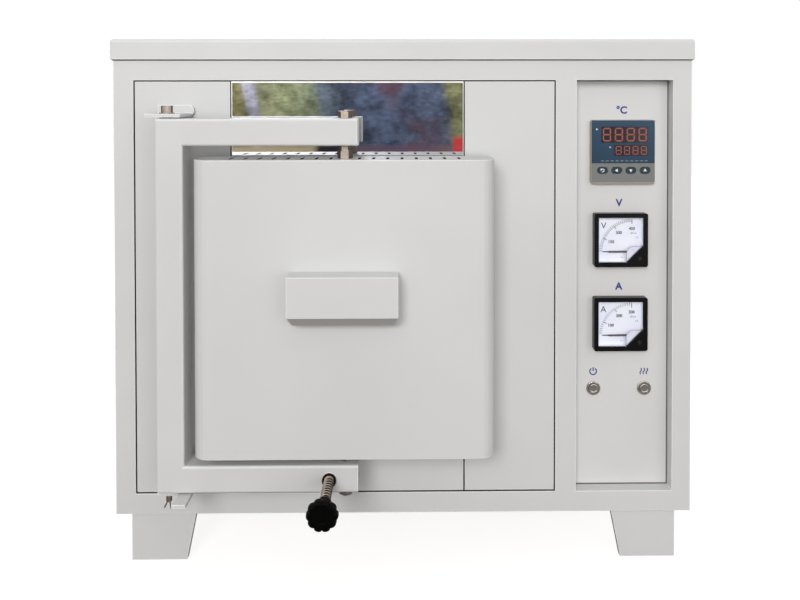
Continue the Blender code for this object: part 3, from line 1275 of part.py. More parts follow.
def make_door():
    """The door: a folded shell with vent slots, a backing sheet, the insulation plug and the pull handle."""
    holder("door_axis", (DOOR_CENTRE_X, ahead(PIVOT_AHEAD), DOOR_MIDDLE), "yoke_axis")
    y = (ahead(DOOR_FRONT), ahead(DOOR_BACK))
    radius = DOOR_EDGE_RADIUS
    outline = rounded((DOOR_LEFT, DOOR_RIGHT), y, [radius, radius, 0, 0], EDGE_STEPS)
    folded = prism(outline, 2, (DOOR_BASE, DOOR_TOP))
    shell = add("door_shell", folded, "powder_coat", parent="door_axis", smooth=True)
    inner_x = (DOOR_LEFT + SHEET, DOOR_RIGHT - SHEET)
    inner_y = (y[0] + SHEET, y[1] + CUT_OVERRUN)
    inner_radius = radius - SHEET
    hollow = rounded(inner_x, inner_y, [inner_radius, inner_radius, 0, 0], EDGE_STEPS)
    cut(shell, "door_hollow", prism(hollow, 2, (DOOR_BASE + SHEET, DOOR_TOP - SHEET)))
    slots = []
    for z in (DOOR_BASE, DOOR_TOP - SHEET):
        for number in range(SLOT_COUNT):
            middle = DOOR_CENTRE_X + (number - (SLOT_COUNT - 1) / 2) * SLOT_PITCH
            if abs(middle - DOOR_CENTRE_X) < SLOT_PITCH / 2:
                continue
            x, slot_y = around(middle, SLOT_WIDTH), around(ahead(SLOT_AHEAD), SLOT_LENGTH)
            slot = rounded(x, slot_y, [SLOT_CORNER] * 4, 1)
            slots.append(prism(slot, 2, (z - CUT_OVERRUN, z + SHEET + CUT_OVERRUN)))
        pivot = (DOOR_CENTRE_X, ahead(PIVOT_AHEAD), z)
        slots.append(rod(PIN_RADIUS + PIN_CLEARANCE, pivot, (0, 0, 1), -CUT_OVERRUN, SHEET + CUT_OVERRUN))
    cut(shell, "door_slots", merge(slots))

    plate_x = (inner_x[0] + SEAT_GAP, inner_x[1] - SEAT_GAP)
    plate_z = (DOOR_BASE + SHEET + SEAT_GAP, DOOR_TOP - SHEET - SEAT_GAP)
    plate_y = (ahead(DOOR_BACK + SHEET), ahead(DOOR_BACK))
    backing = add("door_back_plate", block(plate_x, plate_y, plate_z), "polished_steel", parent="door_axis")
    hole = plug_solid(plate_y[0] - CUT_OVERRUN, plate_y[1] + CUT_OVERRUN, -SEAT_GAP, -SEAT_GAP)
    cut(backing, "plug_hole", hole)

    board_y = (ahead(DOOR_BACK + SHEET + SEAT_GAP + DOOR_BOARD), ahead(DOOR_BACK + SHEET + SEAT_GAP))
    board_x = (plate_x[0] + SEAT_GAP, plate_x[1] - SEAT_GAP)
    plug = add("door_plug", block(board_x, board_y, plate_z), "ceramic_fibre", parent="door_axis")
    join(plug, "plug_root", plug_solid(board_y[1] - DOOR_BOARD / 2, ahead(DOOR_BACK)))
    taper = (DOOR_BACK + PLUG_REACH) * math.tan(PLUG_TAPER_ANGLE)
    join(plug, "plug_taper", plug_solid(ahead(DOOR_BACK), behind(PLUG_REACH), 0, taper))


def handle_shape(levels, half_width):
    """A channel's solid from (height, back, front, taper) levels: its ends lean in by the taper."""
    shape = bmesh.new()
    centre = DOOR_CENTRE_X + HANDLE_SHIFT
    rings = []
    for z, back, front, taper in levels:
        half = half_width - taper
        corners = ((-half, back), (half, back), (half, front), (-half, front))
        rings.append([shape.verts.new((centre + a, y, z)) for a, y in corners])
    close_rings(shape, rings)
    return shape


def make_handle():
    """The pull handle: a folded channel with closed ends and a lip turned back under its face."""
    root, face = ahead(DOOR_FRONT + SEAT_GAP), ahead(DOOR_FRONT + HANDLE_REACH)
    top = DOOR_MIDDLE + HANDLE_RISE
    bottom = top - HANDLE_FACE_HEIGHT
    levels = [
        (top, root, face, 0),
        (bottom, root, face, 0),
        (bottom - HANDLE_LIP_DROP, root, face + HANDLE_LIP_BACK, HANDLE_LIP_TAPER),
    ]
    handle = add("door_handle", handle_shape(levels, HANDLE_WIDTH / 2), "powder_coat", parent="door_axis")
    sheet = HANDLE_SHEET
    half_slope = math.atan2(HANDLE_LIP_DROP, HANDLE_LIP_BACK) / 2
    inner_bottom = bottom + sheet * math.tan(math.pi / 4 - half_slope)
    run = 1 + (CUT_OVERRUN + inner_bottom - bottom) / HANDLE_LIP_DROP
    drop, back = HANDLE_LIP_DROP * run, HANDLE_LIP_BACK * run
    open_back = root + CUT_OVERRUN
    levels = [
        (top - sheet, open_back, face + sheet, 0),
        (inner_bottom, open_back, face + sheet, 0),
        (inner_bottom - drop, open_back, face + sheet + back, HANDLE_LIP_TAPER * run),
    ]
    cut(handle, "handle_hollow", handle_shape(levels, HANDLE_WIDTH / 2 - sheet))


def spring_points():
    """The centre line of the lock spring: close end coils and even ones between."""
    active = SPRING_COILS - 2
    pitch = (SPRING_LENGTH - SPRING_WIRE - 2 * SPRING_END_PITCH) / active
    radius = SPRING_RADIUS - SPRING_WIRE / 2
    start = ahead(YOKE_FRONT + BUSH_LENGTH + SEAT_GAP + SPRING_WIRE / 2)
    points = []
    for i in range(SPRING_COILS * SPRING_POINTS_PER_COIL + 1):
        turn = i / SPRING_POINTS_PER_COIL
        first, last = min(turn, 1), max(turn - SPRING_COILS + 1, 0)
        along = (first + last) * SPRING_END_PITCH + (turn - first - last) * pitch
        angle = 2 * math.pi * turn
        across, up = radius * math.cos(angle), radius * math.sin(angle)
        points.append(Vector((LOCK_X + across, start - along, LOCK_Z + up)))
    return points


def make_spring():
    """The lock spring, one unbroken wire."""
    points = spring_points()
    curve = bpy.data.curves.new("lock_spring", "CURVE")
    curve.dimensions = "3D"
    curve.bevel_depth = SPRING_WIRE / 2
    curve.bevel_resolution = 1
    curve.use_fill_caps = True
    spline = curve.splines.new("POLY")
    spline.points.add(len(points) - 1)
    at = holders["yoke_axis"][1]
    for point, place in zip(spline.points, points):
        point.co = (*(place - at), 1)
    curve.materials.append(finish("spring_steel"))
    spring = bpy.data.objects.new("lock_spring", curve)
    bpy.context.scene.collection.objects.link(spring)
    spring.parent = holders["yoke_axis"][0]
    gaps = []
    for i, place in enumerate(points):
        for other in points[i + SPRING_POINTS_PER_COIL // 2 :]:
            gaps.append((place - other).length - SPRING_WIRE)
    print(f"least gap between the spring's coils: {min(gaps):.5f} m")


def make_lock():
    """The lock screw: star knob, rod and washer, pushed off the yoke by a spring."""
    make_spring()
    washer_ahead = YOKE_FRONT + BUSH_LENGTH + SPRING_LENGTH + 2 * SEAT_GAP
    holder("lock_slide", (LOCK_X, ahead(washer_ahead), LOCK_Z), "yoke_axis")
    bore = ROD_RADIUS + ROD_BORE_GAP
    ring = [
        ("circle", WASHER_RADIUS, 0),
        ("circle", WASHER_RADIUS, WASHER_THICKNESS),
    ]
    at = (LOCK_X, ahead(washer_ahead), LOCK_Z)
    washer = stack(ring, at, (0, -1, 0), ROUND_STEPS)
    washer_piece = add("lock_washer", washer, "bright_steel", parent="lock_slide", smooth=True)
    hole = rod(bore, at, (0, -1, 0), -CUT_OVERRUN, WASHER_THICKNESS + CUT_OVERRUN)
    cut(washer_piece, "washer_hole", hole)

    knob_back = washer_ahead + WASHER_THICKNESS + SEAT_GAP
    holder("lock_turn", (LOCK_X, ahead(knob_back), LOCK_Z), "lock_slide")
    levels = [
        ("circle", bore, KNOB_BORE_DEPTH),
        ("circle", bore, 0),
        ("circle", KNOB_HUB_RADIUS, 0),
        ("circle", KNOB_HUB_RADIUS, KNOB_HUB_LENGTH),
    ]
    length = YOKE_FRONT + KNOB_AHEAD - knob_back
    height = length - sum(KNOB_STEP_LENGTHS)
    for radius, step in zip(KNOB_RADII, (*KNOB_STEP_LENGTHS, 0)):
        levels.append(("star", radius, height))
        height += step
    levels += [
        ("circle", KNOB_DIMPLE_RADIUS, length),
        ("circle", KNOB_DIMPLE_RADIUS, length - KNOB_DIMPLE_DEPTH),
    ]
    at = (LOCK_X, ahead(knob_back), LOCK_Z)
    knob = stack(levels, at, (0, -1, 0), KNOB_LOBES * KNOB_STEPS_PER_LOBE)
    add("lock_knob", knob, "black_plastic", parent="lock_turn", smooth=True)

    tip = ROD_TIP_AHEAD
    rod_end = knob_back + KNOB_BORE_DEPTH - SEAT_GAP
    levels = [
        ("circle", ROD_RADIUS - ROD_CHAMFER, 0),
        ("circle", ROD_RADIUS, ROD_CHAMFER),
        ("circle", ROD_RADIUS, rod_end - tip),
    ]
    screw = stack(levels, (LOCK_X, ahead(tip), LOCK_Z), (0, -1, 0))
    add("lock_rod", screw, "bright_steel", parent="lock_turn", smooth=True)


def make_cabinet():
    make_front_frame()
    make_side_panels()
    make_rear_panel()
    make_cable_gland()
    make_top_cover()
    make_feet()
    make_base_pan()
    make_compartment_wall()
    make_front_panels()


def make_furnace():
    make_lining()
    make_elements()
    make_thermocouple()
    make_transformer()


def make_instruments():
    make_control_panel()
    make_controller()
    make_meter("voltmeter", VOLTMETER_Z)
    make_meter("ammeter", AMMETER_Z)
    make_button("power_button", METER_X - BUTTON_SPACING / 2)
    make_button("heating_button", METER_X + BUTTON_SPACING / 2)


def main():
    clear_scene()
    make_cabinet()
    make_furnace()
    make_instruments()
    make_brackets()
    make_hinge_pins()
    make_yoke()
    make_pivot_bolts()
    make_door()
    make_handle()
    make_lock()


main()
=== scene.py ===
# %% [markdown]
# # Dressing a box furnace
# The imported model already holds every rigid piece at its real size: cabinet, door, yoke, lock screw and
# instruments. This script gives each one the finish of its real material, adds the fine pieces that are
# printed, moulded or screwed on, and sets up a camera and plain studio light. Nothing that came with the
# frame is moved: every new piece is placed from the boxes of the nodes that carry it.

# %% Load the frame
import json
import math

import bpy
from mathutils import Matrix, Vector


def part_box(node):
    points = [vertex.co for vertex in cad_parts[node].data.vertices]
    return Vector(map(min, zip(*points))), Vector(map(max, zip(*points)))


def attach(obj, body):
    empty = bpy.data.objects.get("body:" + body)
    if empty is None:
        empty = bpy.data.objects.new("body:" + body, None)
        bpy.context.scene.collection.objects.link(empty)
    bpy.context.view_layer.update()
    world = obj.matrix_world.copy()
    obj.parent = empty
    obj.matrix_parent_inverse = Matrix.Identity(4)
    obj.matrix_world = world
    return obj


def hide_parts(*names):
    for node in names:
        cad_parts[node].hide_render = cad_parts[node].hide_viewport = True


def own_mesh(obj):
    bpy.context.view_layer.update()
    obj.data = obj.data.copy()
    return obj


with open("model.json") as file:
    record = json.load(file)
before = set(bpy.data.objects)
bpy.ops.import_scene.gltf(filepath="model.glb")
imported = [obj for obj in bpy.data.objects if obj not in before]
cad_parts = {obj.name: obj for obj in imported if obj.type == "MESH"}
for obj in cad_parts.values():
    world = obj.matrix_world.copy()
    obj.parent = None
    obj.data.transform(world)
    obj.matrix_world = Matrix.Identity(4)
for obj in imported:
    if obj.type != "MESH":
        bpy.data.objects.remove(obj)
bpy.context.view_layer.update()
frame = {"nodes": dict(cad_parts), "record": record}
nodes = frame["nodes"]
MM = 0.001

# %% [markdown]
# ## Colours and nodes
# Colours are written as the sRGB hex values that a paint chart gives, and a renderer works in linear light,
# so one function turns them. A second one adds a shader node with its settings and links, because every
# finish below is a short chain of such nodes. A texture's scale counts cells in a metre, so a pattern's
# real size in millimetres goes through a third.


# %% Helpers for the finishes
def linear(colour):
    """An sRGB hex colour as linear red, green, blue and alpha."""
    channels = [int(colour[i : i + 2], 16) / 255 for i in (1, 3, 5)]
    return (*(c / 12.92 if c <= 0.04045 else ((c + 0.055) / 1.055) ** 2.4 for c in channels), 1)


def per_metre(millimetres):
    """The scale of a pattern that repeats at this size."""
    return 1 / (millimetres * MM)


def add_node(tree, kind, inputs=None, stops=None, **settings):
    """A node with its settings, the stops of its ramp if it has one, and values or links in its sockets."""
    made = tree.nodes.new(kind)
    for name, value in settings.items():
        setattr(made, name, value)
    for socket, value in (inputs or {}).items():
        if isinstance(value, bpy.types.NodeSocket):
            tree.links.new(value, made.inputs[socket])
        else:
            made.inputs[socket].default_value = value
    if stops:
        elements = made.color_ramp.elements
        for place, colour in stops[2:]:
            elements.new(place)
        for element, (place, colour) in zip(elements, stops):
            element.position = place
            element.color = linear(colour) if isinstance(colour, str) else (colour, colour, colour, 1)
    return made


def finish(name, colour, roughness, metallic=0.0, **sockets):
    """A material with its uniform values on the shader: the material, its tree and its shader."""
    material = bpy.data.materials.new(name)
    material.use_nodes = True
    shader = material.node_tree.nodes["Principled BSDF"]
    shader.inputs["Base Color"].default_value = linear(colour)
    shader.inputs["Roughness"].default_value = roughness
    shader.inputs["Metallic"].default_value = metallic
    for socket, value in sockets.items():
        shader.inputs[socket.replace("_", " ")].default_value = value
    return material, material.node_tree, shader


print("colours and nodes ready")

# %% [markdown]
# Most surfaces need one of three things: relief, slow variation of a value, or a painted highlight on
# folds.
# Each is a short chain of nodes that reads Object coordinates, so a pattern stays on a piece that moves.


# %% Relief, variation and folds
def grain(tree, shader, millimetres, depth, stretch=(1, 1, 1), detail=3.0, edge=0.0):
    """Relief of this cell size and depth in millimetres. An edge radius rounds the sharp folds."""
    place = add_node(tree, "ShaderNodeTexCoord")
    mapping = add_node(tree, "ShaderNodeMapping", {"Vector": place.outputs["Object"], "Scale": stretch})
    inputs = {"Vector": mapping.outputs[0], "Scale": per_metre(millimetres), "Detail": detail}
    cells = add_node(tree, "ShaderNodeTexNoise", inputs)
    inputs = {"Height": cells.outputs["Fac"], "Distance": depth * MM, "Strength": 1.0}
    if edge:
        fold = add_node(tree, "ShaderNodeBevel", {"Radius": edge * MM}, samples=4)
        inputs["Normal"] = fold.outputs["Normal"]
    bump = add_node(tree, "ShaderNodeBump", inputs)
    tree.links.new(bump.outputs["Normal"], shader.inputs["Normal"])


def mottle(tree, shader, socket, millimetres, stops, stretch=(1, 1, 1), detail=3.0):
    """Slow variation of one socket between the stops of a ramp."""
    place = add_node(tree, "ShaderNodeTexCoord")
    mapping = add_node(tree, "ShaderNodeMapping", {"Vector": place.outputs["Object"], "Scale": stretch})
    inputs = {"Vector": mapping.outputs[0], "Scale": per_metre(millimetres), "Detail": detail}
    cells = add_node(tree, "ShaderNodeTexNoise", inputs)
    ramp = add_node(tree, "ShaderNodeValToRGB", {"Fac": cells.outputs["Fac"]}, stops=stops)
    tree.links.new(ramp.outputs["Color"], shader.inputs[socket])
    return ramp


def paint_fold_highlight(tree, shader, base, millimetres):
    """Paints a highlight into a colour on the sharp folds, where the rounded normal leaves the true one."""
    true = add_node(tree, "ShaderNodeNewGeometry")
    fold = add_node(tree, "ShaderNodeBevel", {"Radius": millimetres * MM}, samples=6)
    inputs = {0: true.outputs["Normal"], 1: fold.outputs["Normal"]}
    turned = add_node(tree, "ShaderNodeVectorMath", inputs, operation="DOT_PRODUCT")
    inputs = {"Value": turned.outputs["Value"], "From Min": 1.0, "From Max": 0.90}
    amount = add_node(tree, "ShaderNodeMapRange", inputs)
    inputs = {0: amount.outputs["Result"], 6: base, 7: linear("#FFFFFF")}
    mixed = add_node(tree, "ShaderNodeMix", inputs, data_type="RGBA")
    tree.links.new(mixed.outputs[2], shader.inputs["Base Color"])


finishes = {}
print("helpers ready")

# %% [markdown]
# ## Powder-coated steel
# The cabinet, door, yoke and feet are mild steel sheet and tube under a light warm grey polyester powder.
# The powder melts into a satin skin that is never quite flat: the eye sees a faint orange peel, soft
# highlights, and round shining lines where the sheet is folded. The folds in the solids are sharp, so a
# bevel node rounds them for the light, and a painted highlight whitens the colour along them. The peel's
# cells are about 2 mm on a real coat, and are drawn at 3 mm so that they show at all. Faces that look
# down are painted a shade darker, as painted shade.
# The panel in the recess is a shade lighter, as painted light that makes up for the shade of the recess
# walls.

# %% Powder coat
coat, tree, shader = finish("satin_polyester_powder_coat", "#D2D2D1", 0.42, IOR=1.5)
tone = mottle(tree, shader, "Base Color", 260, ((0.30, "#CECECD"), (0.70, "#D4D4D4")))
# Painted shade: faces that look down are darkened towards a brown grey.
place = add_node(tree, "ShaderNodeTexCoord")
lean = add_node(tree, "ShaderNodeSeparateXYZ", {"Vector": place.outputs["Normal"]})
inputs = {"Value": lean.outputs["Z"], "From Min": -0.35, "From Max": -0.75, "To Max": 0.62}
under = add_node(tree, "ShaderNodeMapRange", inputs)
inputs = {0: under.outputs["Result"], 6: tone.outputs["Color"], 7: linear("#8E877C")}
shaded = add_node(tree, "ShaderNodeMix", inputs, data_type="RGBA")
# Painted highlight: the colour is whitened along the sharp folds.
paint_fold_highlight(tree, shader, shaded.outputs[2], 2.1)
mottle(tree, shader, "Roughness", 45, ((0.35, 0.37), (0.70, 0.47)))
grain(tree, shader, 3.0, 0.05, edge=1.6)
finishes["powder_coat"] = coat

# Painted light: a lighter copy of the coat for the panel that the recess walls shade.
recess_lightened_coat, tree, shader = finish("satin_powder_coat_recessed", "#D8D7D6", 0.42, IOR=1.5)
mottle(tree, shader, "Base Color", 200, ((0.30, "#D0CFCE"), (0.70, "#D8D7D6")))
grain(tree, shader, 3.0, 0.05, edge=1.6)
print("made", coat.name, recess_lightened_coat.name)

# %% [markdown]
# ## Mirror-polished stainless steel
# The sheet round the furnace mouth is bright stainless that has been buffed to a mirror and then handled.
# It reflects its surroundings sharply, but it isn't dead flat: the thin sheet buckles by a few hundredths
# of a millimetre over a hand's width, and fine wiping marks run across it. A metal keeps the default IOR,
# and its colour is its reflectance.

# %% Mirror stainless
mirror, tree, shader = finish("mirror_polished_stainless", "#D3D3D6", 0.03, metallic=1.0)
mottle(tree, shader, "Roughness", 12, ((0.35, 0.015), (0.75, 0.05)), stretch=(0.35, 1, 2.6), detail=6.0)
grain(tree, shader, 5, 0.0022, stretch=(0.35, 1, 2.0), detail=4.0)
finishes["polished_steel"] = mirror
print("made", mirror.name)

# %% [markdown]
# ## Zinc-coated sheet
# The pan and the wall inside are hot-dip galvanised. Zinc freezes on the steel in flat crystals, the
# spangle, about a centimetre across, each a slightly different grey. A Voronoi texture has the same
# straight-sided cells, so its cell colour drives the tone.

# %% Galvanised sheet
zinc, tree, shader = finish("hot_dip_galvanised_sheet", "#A9AAA8", 0.45, metallic=0.85)
place = add_node(tree, "ShaderNodeTexCoord")
inputs = {"Vector": place.outputs["Object"], "Scale": per_metre(11)}
spangle = add_node(tree, "ShaderNodeTexVoronoi", inputs)
inputs = {"Fac": spangle.outputs["Color"]}
tone = add_node(tree, "ShaderNodeValToRGB", inputs, stops=((0.20, "#8E908F"), (0.80, "#B9BAB8")))
tree.links.new(tone.outputs["Color"], shader.inputs["Base Color"])
finishes["galvanised_steel"] = zinc
print("made", zinc.name)

# %% [markdown]
# ## The hot side
# The lining is vacuum-formed ceramic fibre board: chalk white, quite matt, with a felted surface that
# crumbles a little at the edges and yellows slightly with heat. The hearth plate and the thermocouple's
# sheath are fired ceramic, denser and smoother. The elements are molybdenum disilicide, which grows a
# thin glassy skin over dark grey.

# %% Fibre board, fired ceramic and elements
board, tree, shader = finish("vacuum_formed_fibre_board", "#E4E0D4", 0.95)
mottle(tree, shader, "Base Color", 70, ((0.25, "#D9D2C0"), (0.60, "#E8E5DB")), detail=6.0)
grain(tree, shader, 4.0, 0.45, detail=7.0, edge=2.0)
finishes["ceramic_fibre"] = board

hearth, tree, shader = finish("fired_hearth_ceramic", "#C9BCA2", 0.70)
mottle(tree, shader, "Base Color", 9, ((0.35, "#B7A688"), (0.62, "#D2C7AF")), detail=8.0)
grain(tree, shader, 1.6, 0.15, detail=6.0, edge=1.0)
finishes["hearth_ceramic"] = hearth

sheath, tree, shader = finish("unglazed_alumina_sheath", "#D3C9B4", 0.45)
mottle(tree, shader, "Base Color", 14, ((0.35, "#CABFA8"), (0.70, "#D9D1BF")))
finishes["sheath_ceramic"] = sheath

silicide, tree, shader = finish("molybdenum_disilicide", "#454442", 0.38, metallic=0.25)
mottle(tree, shader, "Base Color", 16, ((0.35, "#3A3A39"), (0.70, "#55524C")), detail=5.0)
finishes["heating_element"] = silicide
print("made", board.name, hearth.name, sheath.name, silicide.name)

# %% [markdown]
# ## Metals that are turned or plated
# The bolts and pins are plain machined steel that has dulled. Their colour is painted light where they
# face the eye and brown towards their edges, as painted sheen and shade. The push buttons are chromed
# brass, with a few fine rubbing marks.

# %% Fastener steel and chrome
machined, tree, shader = finish("dull_machined_steel", "#9C9088", 0.34, metallic=1.0)
# Painted sheen and shade: light where the surface faces the eye, dark brown towards its edges.
facing_shade = add_node(tree, "ShaderNodeLayerWeight", {"Blend": 0.5})
inputs = {"Fac": facing_shade.outputs["Facing"]}
tone = add_node(tree, "ShaderNodeValToRGB", inputs, stops=((0.10, "#B9ADA3"), (0.50, "#5A4C45")))
tree.links.new(tone.outputs["Color"], shader.inputs["Base Color"])
mottle(tree, shader, "Roughness", 4, ((0.30, 0.24), (0.75, 0.46)), detail=5.0)
grain(tree, shader, 0.9, 0.05, stretch=(1, 1, 6), edge=0.5)
finishes["fastener_steel"] = machined

chrome, tree, shader = finish("chrome_plated_brass", "#C9C4BE", 0.12, metallic=1.0)
mottle(tree, shader, "Roughness", 3, ((0.30, 0.08), (0.75, 0.20)), detail=4.0)
grain(tree, shader, 6, 0.01, edge=0.5)
finishes["button_chrome"] = chrome
print("made", machined.name, chrome.name)

# %% [markdown]
# ## Spring wire, lock rod and transformer core
# The spring is oiled music wire. Each turn is painted light where it faces the eye and dark towards its
# edges, as painted shade, so the turns stand apart. The rod inside it is blackened. The transformer's core
# is varnished laminations: half-millimetre sheets, drawn here as 3 mm bands so that they show.

# %% Spring wire, lock rod and core
wire, tree, shader = finish("oiled_spring_wire", "#B3A496", 0.34, metallic=1.0)
# Painted shade: each turn light where it faces the eye, dark towards its edges.
facing_shade = add_node(tree, "ShaderNodeLayerWeight", {"Blend": 0.5})
inputs = {"Fac": facing_shade.outputs["Facing"]}
tone = add_node(tree, "ShaderNodeValToRGB", inputs, stops=((0.12, "#BBADA0"), (0.45, "#2B2420")))
tree.links.new(tone.outputs["Color"], shader.inputs["Base Color"])
mottle(tree, shader, "Roughness", 6, ((0.30, 0.28), (0.70, 0.42)))
finishes["spring_steel"] = wire

rod, tree, shader = finish("blackened_oily_rod", "#17120F", 0.5, metallic=0.6)
mottle(tree, shader, "Roughness", 8, ((0.30, 0.36), (0.70, 0.52)))

core, tree, shader = finish("varnished_laminations", "#3A3634", 0.45, metallic=0.3)
place = add_node(tree, "ShaderNodeTexCoord")
inputs = {"Vector": place.outputs["Object"], "Scale": per_metre(3.0) / 20, "Distortion": 0.4}
bands = add_node(tree, "ShaderNodeTexWave", inputs, bands_direction="Y")
inputs = {"Fac": bands.outputs["Fac"]}
tone = add_node(tree, "ShaderNodeValToRGB", inputs, stops=((0.2, "#2B2624"), (0.8, "#4A423B")))
tree.links.new(tone.outputs["Color"], shader.inputs["Base Color"])
finishes["core_steel"] = core
print("made", wire.name, rod.name, core.name)

# %% [markdown]
# ## Mouldings
# Plastics differ mostly in gloss and in the fine texture that the mould leaves. The meter cases are black
# phenolic with a light gloss, the gland is nylon, the controller's bezel is spark-textured ABS, and its
# keys are silicone. The star knob is phenolic too, pressed hot, so it shines along its lobes.

# %% Plastics and rubber
nylon, tree, shader = finish("black_nylon", "#1B1B1D", 0.42, IOR=1.53)
grain(tree, shader, 1.2, 0.02, edge=0.8)
finishes["gland_plastic"] = nylon

grey_abs, tree, shader = finish("spark_textured_grey_abs", "#A8A196", 0.50, IOR=1.54)
grain(tree, shader, 0.9, 0.03, edge=0.8)
finishes["controller_plastic"] = grey_abs

silicone, tree, shader = finish("blue_black_silicone", "#24323D", 0.55, IOR=1.41)
grain(tree, shader, 0.8, 0.02, edge=0.5)
finishes["key_rubber"] = silicone

phenolic, tree, shader = finish("black_phenolic_case", "#0A0A0B", 0.25, Specular_IOR_Level=0.18)
grain(tree, shader, 2.2, 0.02, edge=1.0)
finishes["meter_plastic"] = phenolic

knob, tree, shader = finish("pressed_phenolic_knob", "#020202", 0.30, Specular_IOR_Level=0.07)
mottle(tree, shader, "Roughness", 12, ((0.35, 0.28), (0.70, 0.46)))
grain(tree, shader, 1.5, 0.03, edge=0.8)
finishes["knob_plastic"] = knob
print("made", nylon.name, grey_abs.name, silicone.name, phenolic.name, knob.name)

# %% [markdown]
# ## Dials and covers
# A panel meter's dial is a sheet of white-painted aluminium, which looks slightly blue under its acrylic
# cover. The cover is clear and thin, so it is drawn mostly transparent and keeps only its gloss.

# %% Dial sheet, needle and clear cover
dial, tree, shader = finish("white_dial_sheet", "#F1F4FF", 0.55)
mottle(tree, shader, "Base Color", 40, ((0.30, "#ECEFFE"), (0.70, "#F5F7FF")))
finishes["voltmeter_dial"] = dial
finishes["ammeter_dial"] = dial

needle = finish("matt_black_needle", "#1A1A1C", 0.50)[0]
finishes["needle_black"] = needle

acrylic = finish("clear_acrylic_cover", "#F2F4FA", 0.04, IOR=1.49, Alpha=0.05)[0]
finishes["meter_window"] = acrylic

glossy = finish("glossy_black_nylon_screw", "#1C1C1F", 0.15, IOR=1.53)[0]

boss, tree, shader = finish("lilac_tinted_acrylic_boss", "#E4E4F6", 0.12, IOR=1.49)
mottle(tree, shader, "Base Color", 25, ((0.30, "#DDDDF2"), (0.70, "#E9E9F9")))
print("made", dial.name, needle.name, acrylic.name, boss.name)

# %% [markdown]
# Each node names its finish in the record, so the record itself says which material goes on which node.

# %% Give every node its finish
for part in frame["record"]["subparts"]:
    node = nodes[part["node"]]
    for slot in node.material_slots:
        slot.material = finishes[part["material_slot"]]
nodes["lock_rod"].material_slots[0].material = rod
nodes["control_panel"].material_slots[0].material = recess_lightened_coat

# %% [markdown]
# ## Modelling by hand, in code
# Everything added below is made as it would be at the screen: a primitive is placed, shaped in edit mode,
# and finished with a modifier. Operators act on whatever is selected, so each helper clears the
# selection first. A printed mark is a real sheet of ink here, a tenth of a millimetre thick, because a
# shape that shows should be in the mesh.

# %% Modelling helpers
INK = 0.10 * MM
INK_GAP = 0.02 * MM
OVERCUT = 2 * MM
NEAR = 0.05 * MM
MERGE_WITHIN = 0.002 * MM
FACING_FRONT = (math.pi / 2, 0, 0)


def only(obj):
    """Makes one object the selected and active one."""
    bpy.ops.object.select_all(action="DESELECT")
    obj.select_set(True)
    bpy.context.view_layer.objects.active = obj


def settle(obj, name):
    """Names an object and puts its place into its mesh."""
    only(obj)
    bpy.ops.object.transform_apply(location=True, rotation=True, scale=True)
    obj.name = name
    obj.data.name = name
    return obj


def clean(obj):
    """Merges doubles and turns every face outwards."""
    only(obj)
    bpy.ops.object.mode_set(mode="EDIT")
    bpy.ops.mesh.select_all(action="SELECT")
    bpy.ops.mesh.remove_doubles(threshold=MERGE_WITHIN)
    bpy.ops.mesh.normals_make_consistent(inside=False)
    bpy.ops.object.mode_set(mode="OBJECT")
    return obj


print("a sheet of ink is", round(INK / MM, 2), "mm thick")

# %% [markdown]
# Solids are cut by a boolean modifier that is applied at once, and joined by the join operator. A copy gets
# its own mesh, so that it can be joined or changed by itself. Every new piece ends in the last of these
# helpers, which gives it its finish and names the body that carries it.


# %% Cutting, joining, copying and dressing
def carve(obj, cutter):
    """Takes one solid out of another and removes the cutter."""
    only(obj)
    modifier = obj.modifiers.new("carve", "BOOLEAN")
    modifier.object = cutter
    modifier.operation = "DIFFERENCE"
    modifier.solver = "EXACT"
    bpy.ops.object.modifier_apply(modifier=modifier.name)
    bpy.data.objects.remove(cutter)
    return obj


def fuse(name, pieces):
    """Joins several objects into one."""
    bpy.ops.object.select_all(action="DESELECT")
    for piece in pieces:
        piece.select_set(True)
    bpy.context.view_layer.objects.active = pieces[0]
    if len(pieces) > 1:
        bpy.ops.object.join()
    return settle(bpy.context.object, name)


def copies(obj, shifts):
    """Copies of an object in its stead, each with its own mesh, moved by these steps."""
    made = []
    for shift in shifts:
        twin = obj.copy()
        twin.data = obj.data.copy()
        bpy.context.scene.collection.objects.link(twin)
        twin.location = obj.location + Vector(shift)
        made.append(twin)
    bpy.data.objects.remove(obj)
    return made


def dress(obj, material, body):
    """Gives a new piece its finish and the body it moves with."""
    obj.data.materials.clear()
    obj.data.materials.append(material)
    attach(obj, body)
    print(f"{obj.name}: {len(obj.data.polygons)} faces, on {body}")
    return obj


print("cutting and joining helpers ready")

# %% [markdown]
# Most places are worked out from a middle and a size, or from limits that are moved apart or together.
# Three one-line helpers do that, and a fourth finds a place on a circle, for scales and signs.


# %% Places and limits
def face_middle(low, high):
    """The middle of a box, across and up."""
    return (low.x + high.x) / 2, (low.z + high.z) / 2


def span(middle, size):
    """The two limits of a size set out from its middle."""
    return middle - size / 2, middle + size / 2


def widen(pair, by):
    """Limits moved apart by this much on both sides, or together where it is negative."""
    return pair[0] - by, pair[1] + by


def around(centre, radius, angle):
    """The place on a circle at an angle in degrees, from the right and up."""
    turned = math.radians(angle)
    return centre[0] + radius * math.cos(turned), centre[1] + radius * math.sin(turned)


print("places are in metres, angles in degrees")

# %% [markdown]
# The two solids to start from are a box between limits and a cylinder that points to the front. Their edges
# are rounded by a bevel, and a rule says which ones: it is given the middle and the direction of each edge.


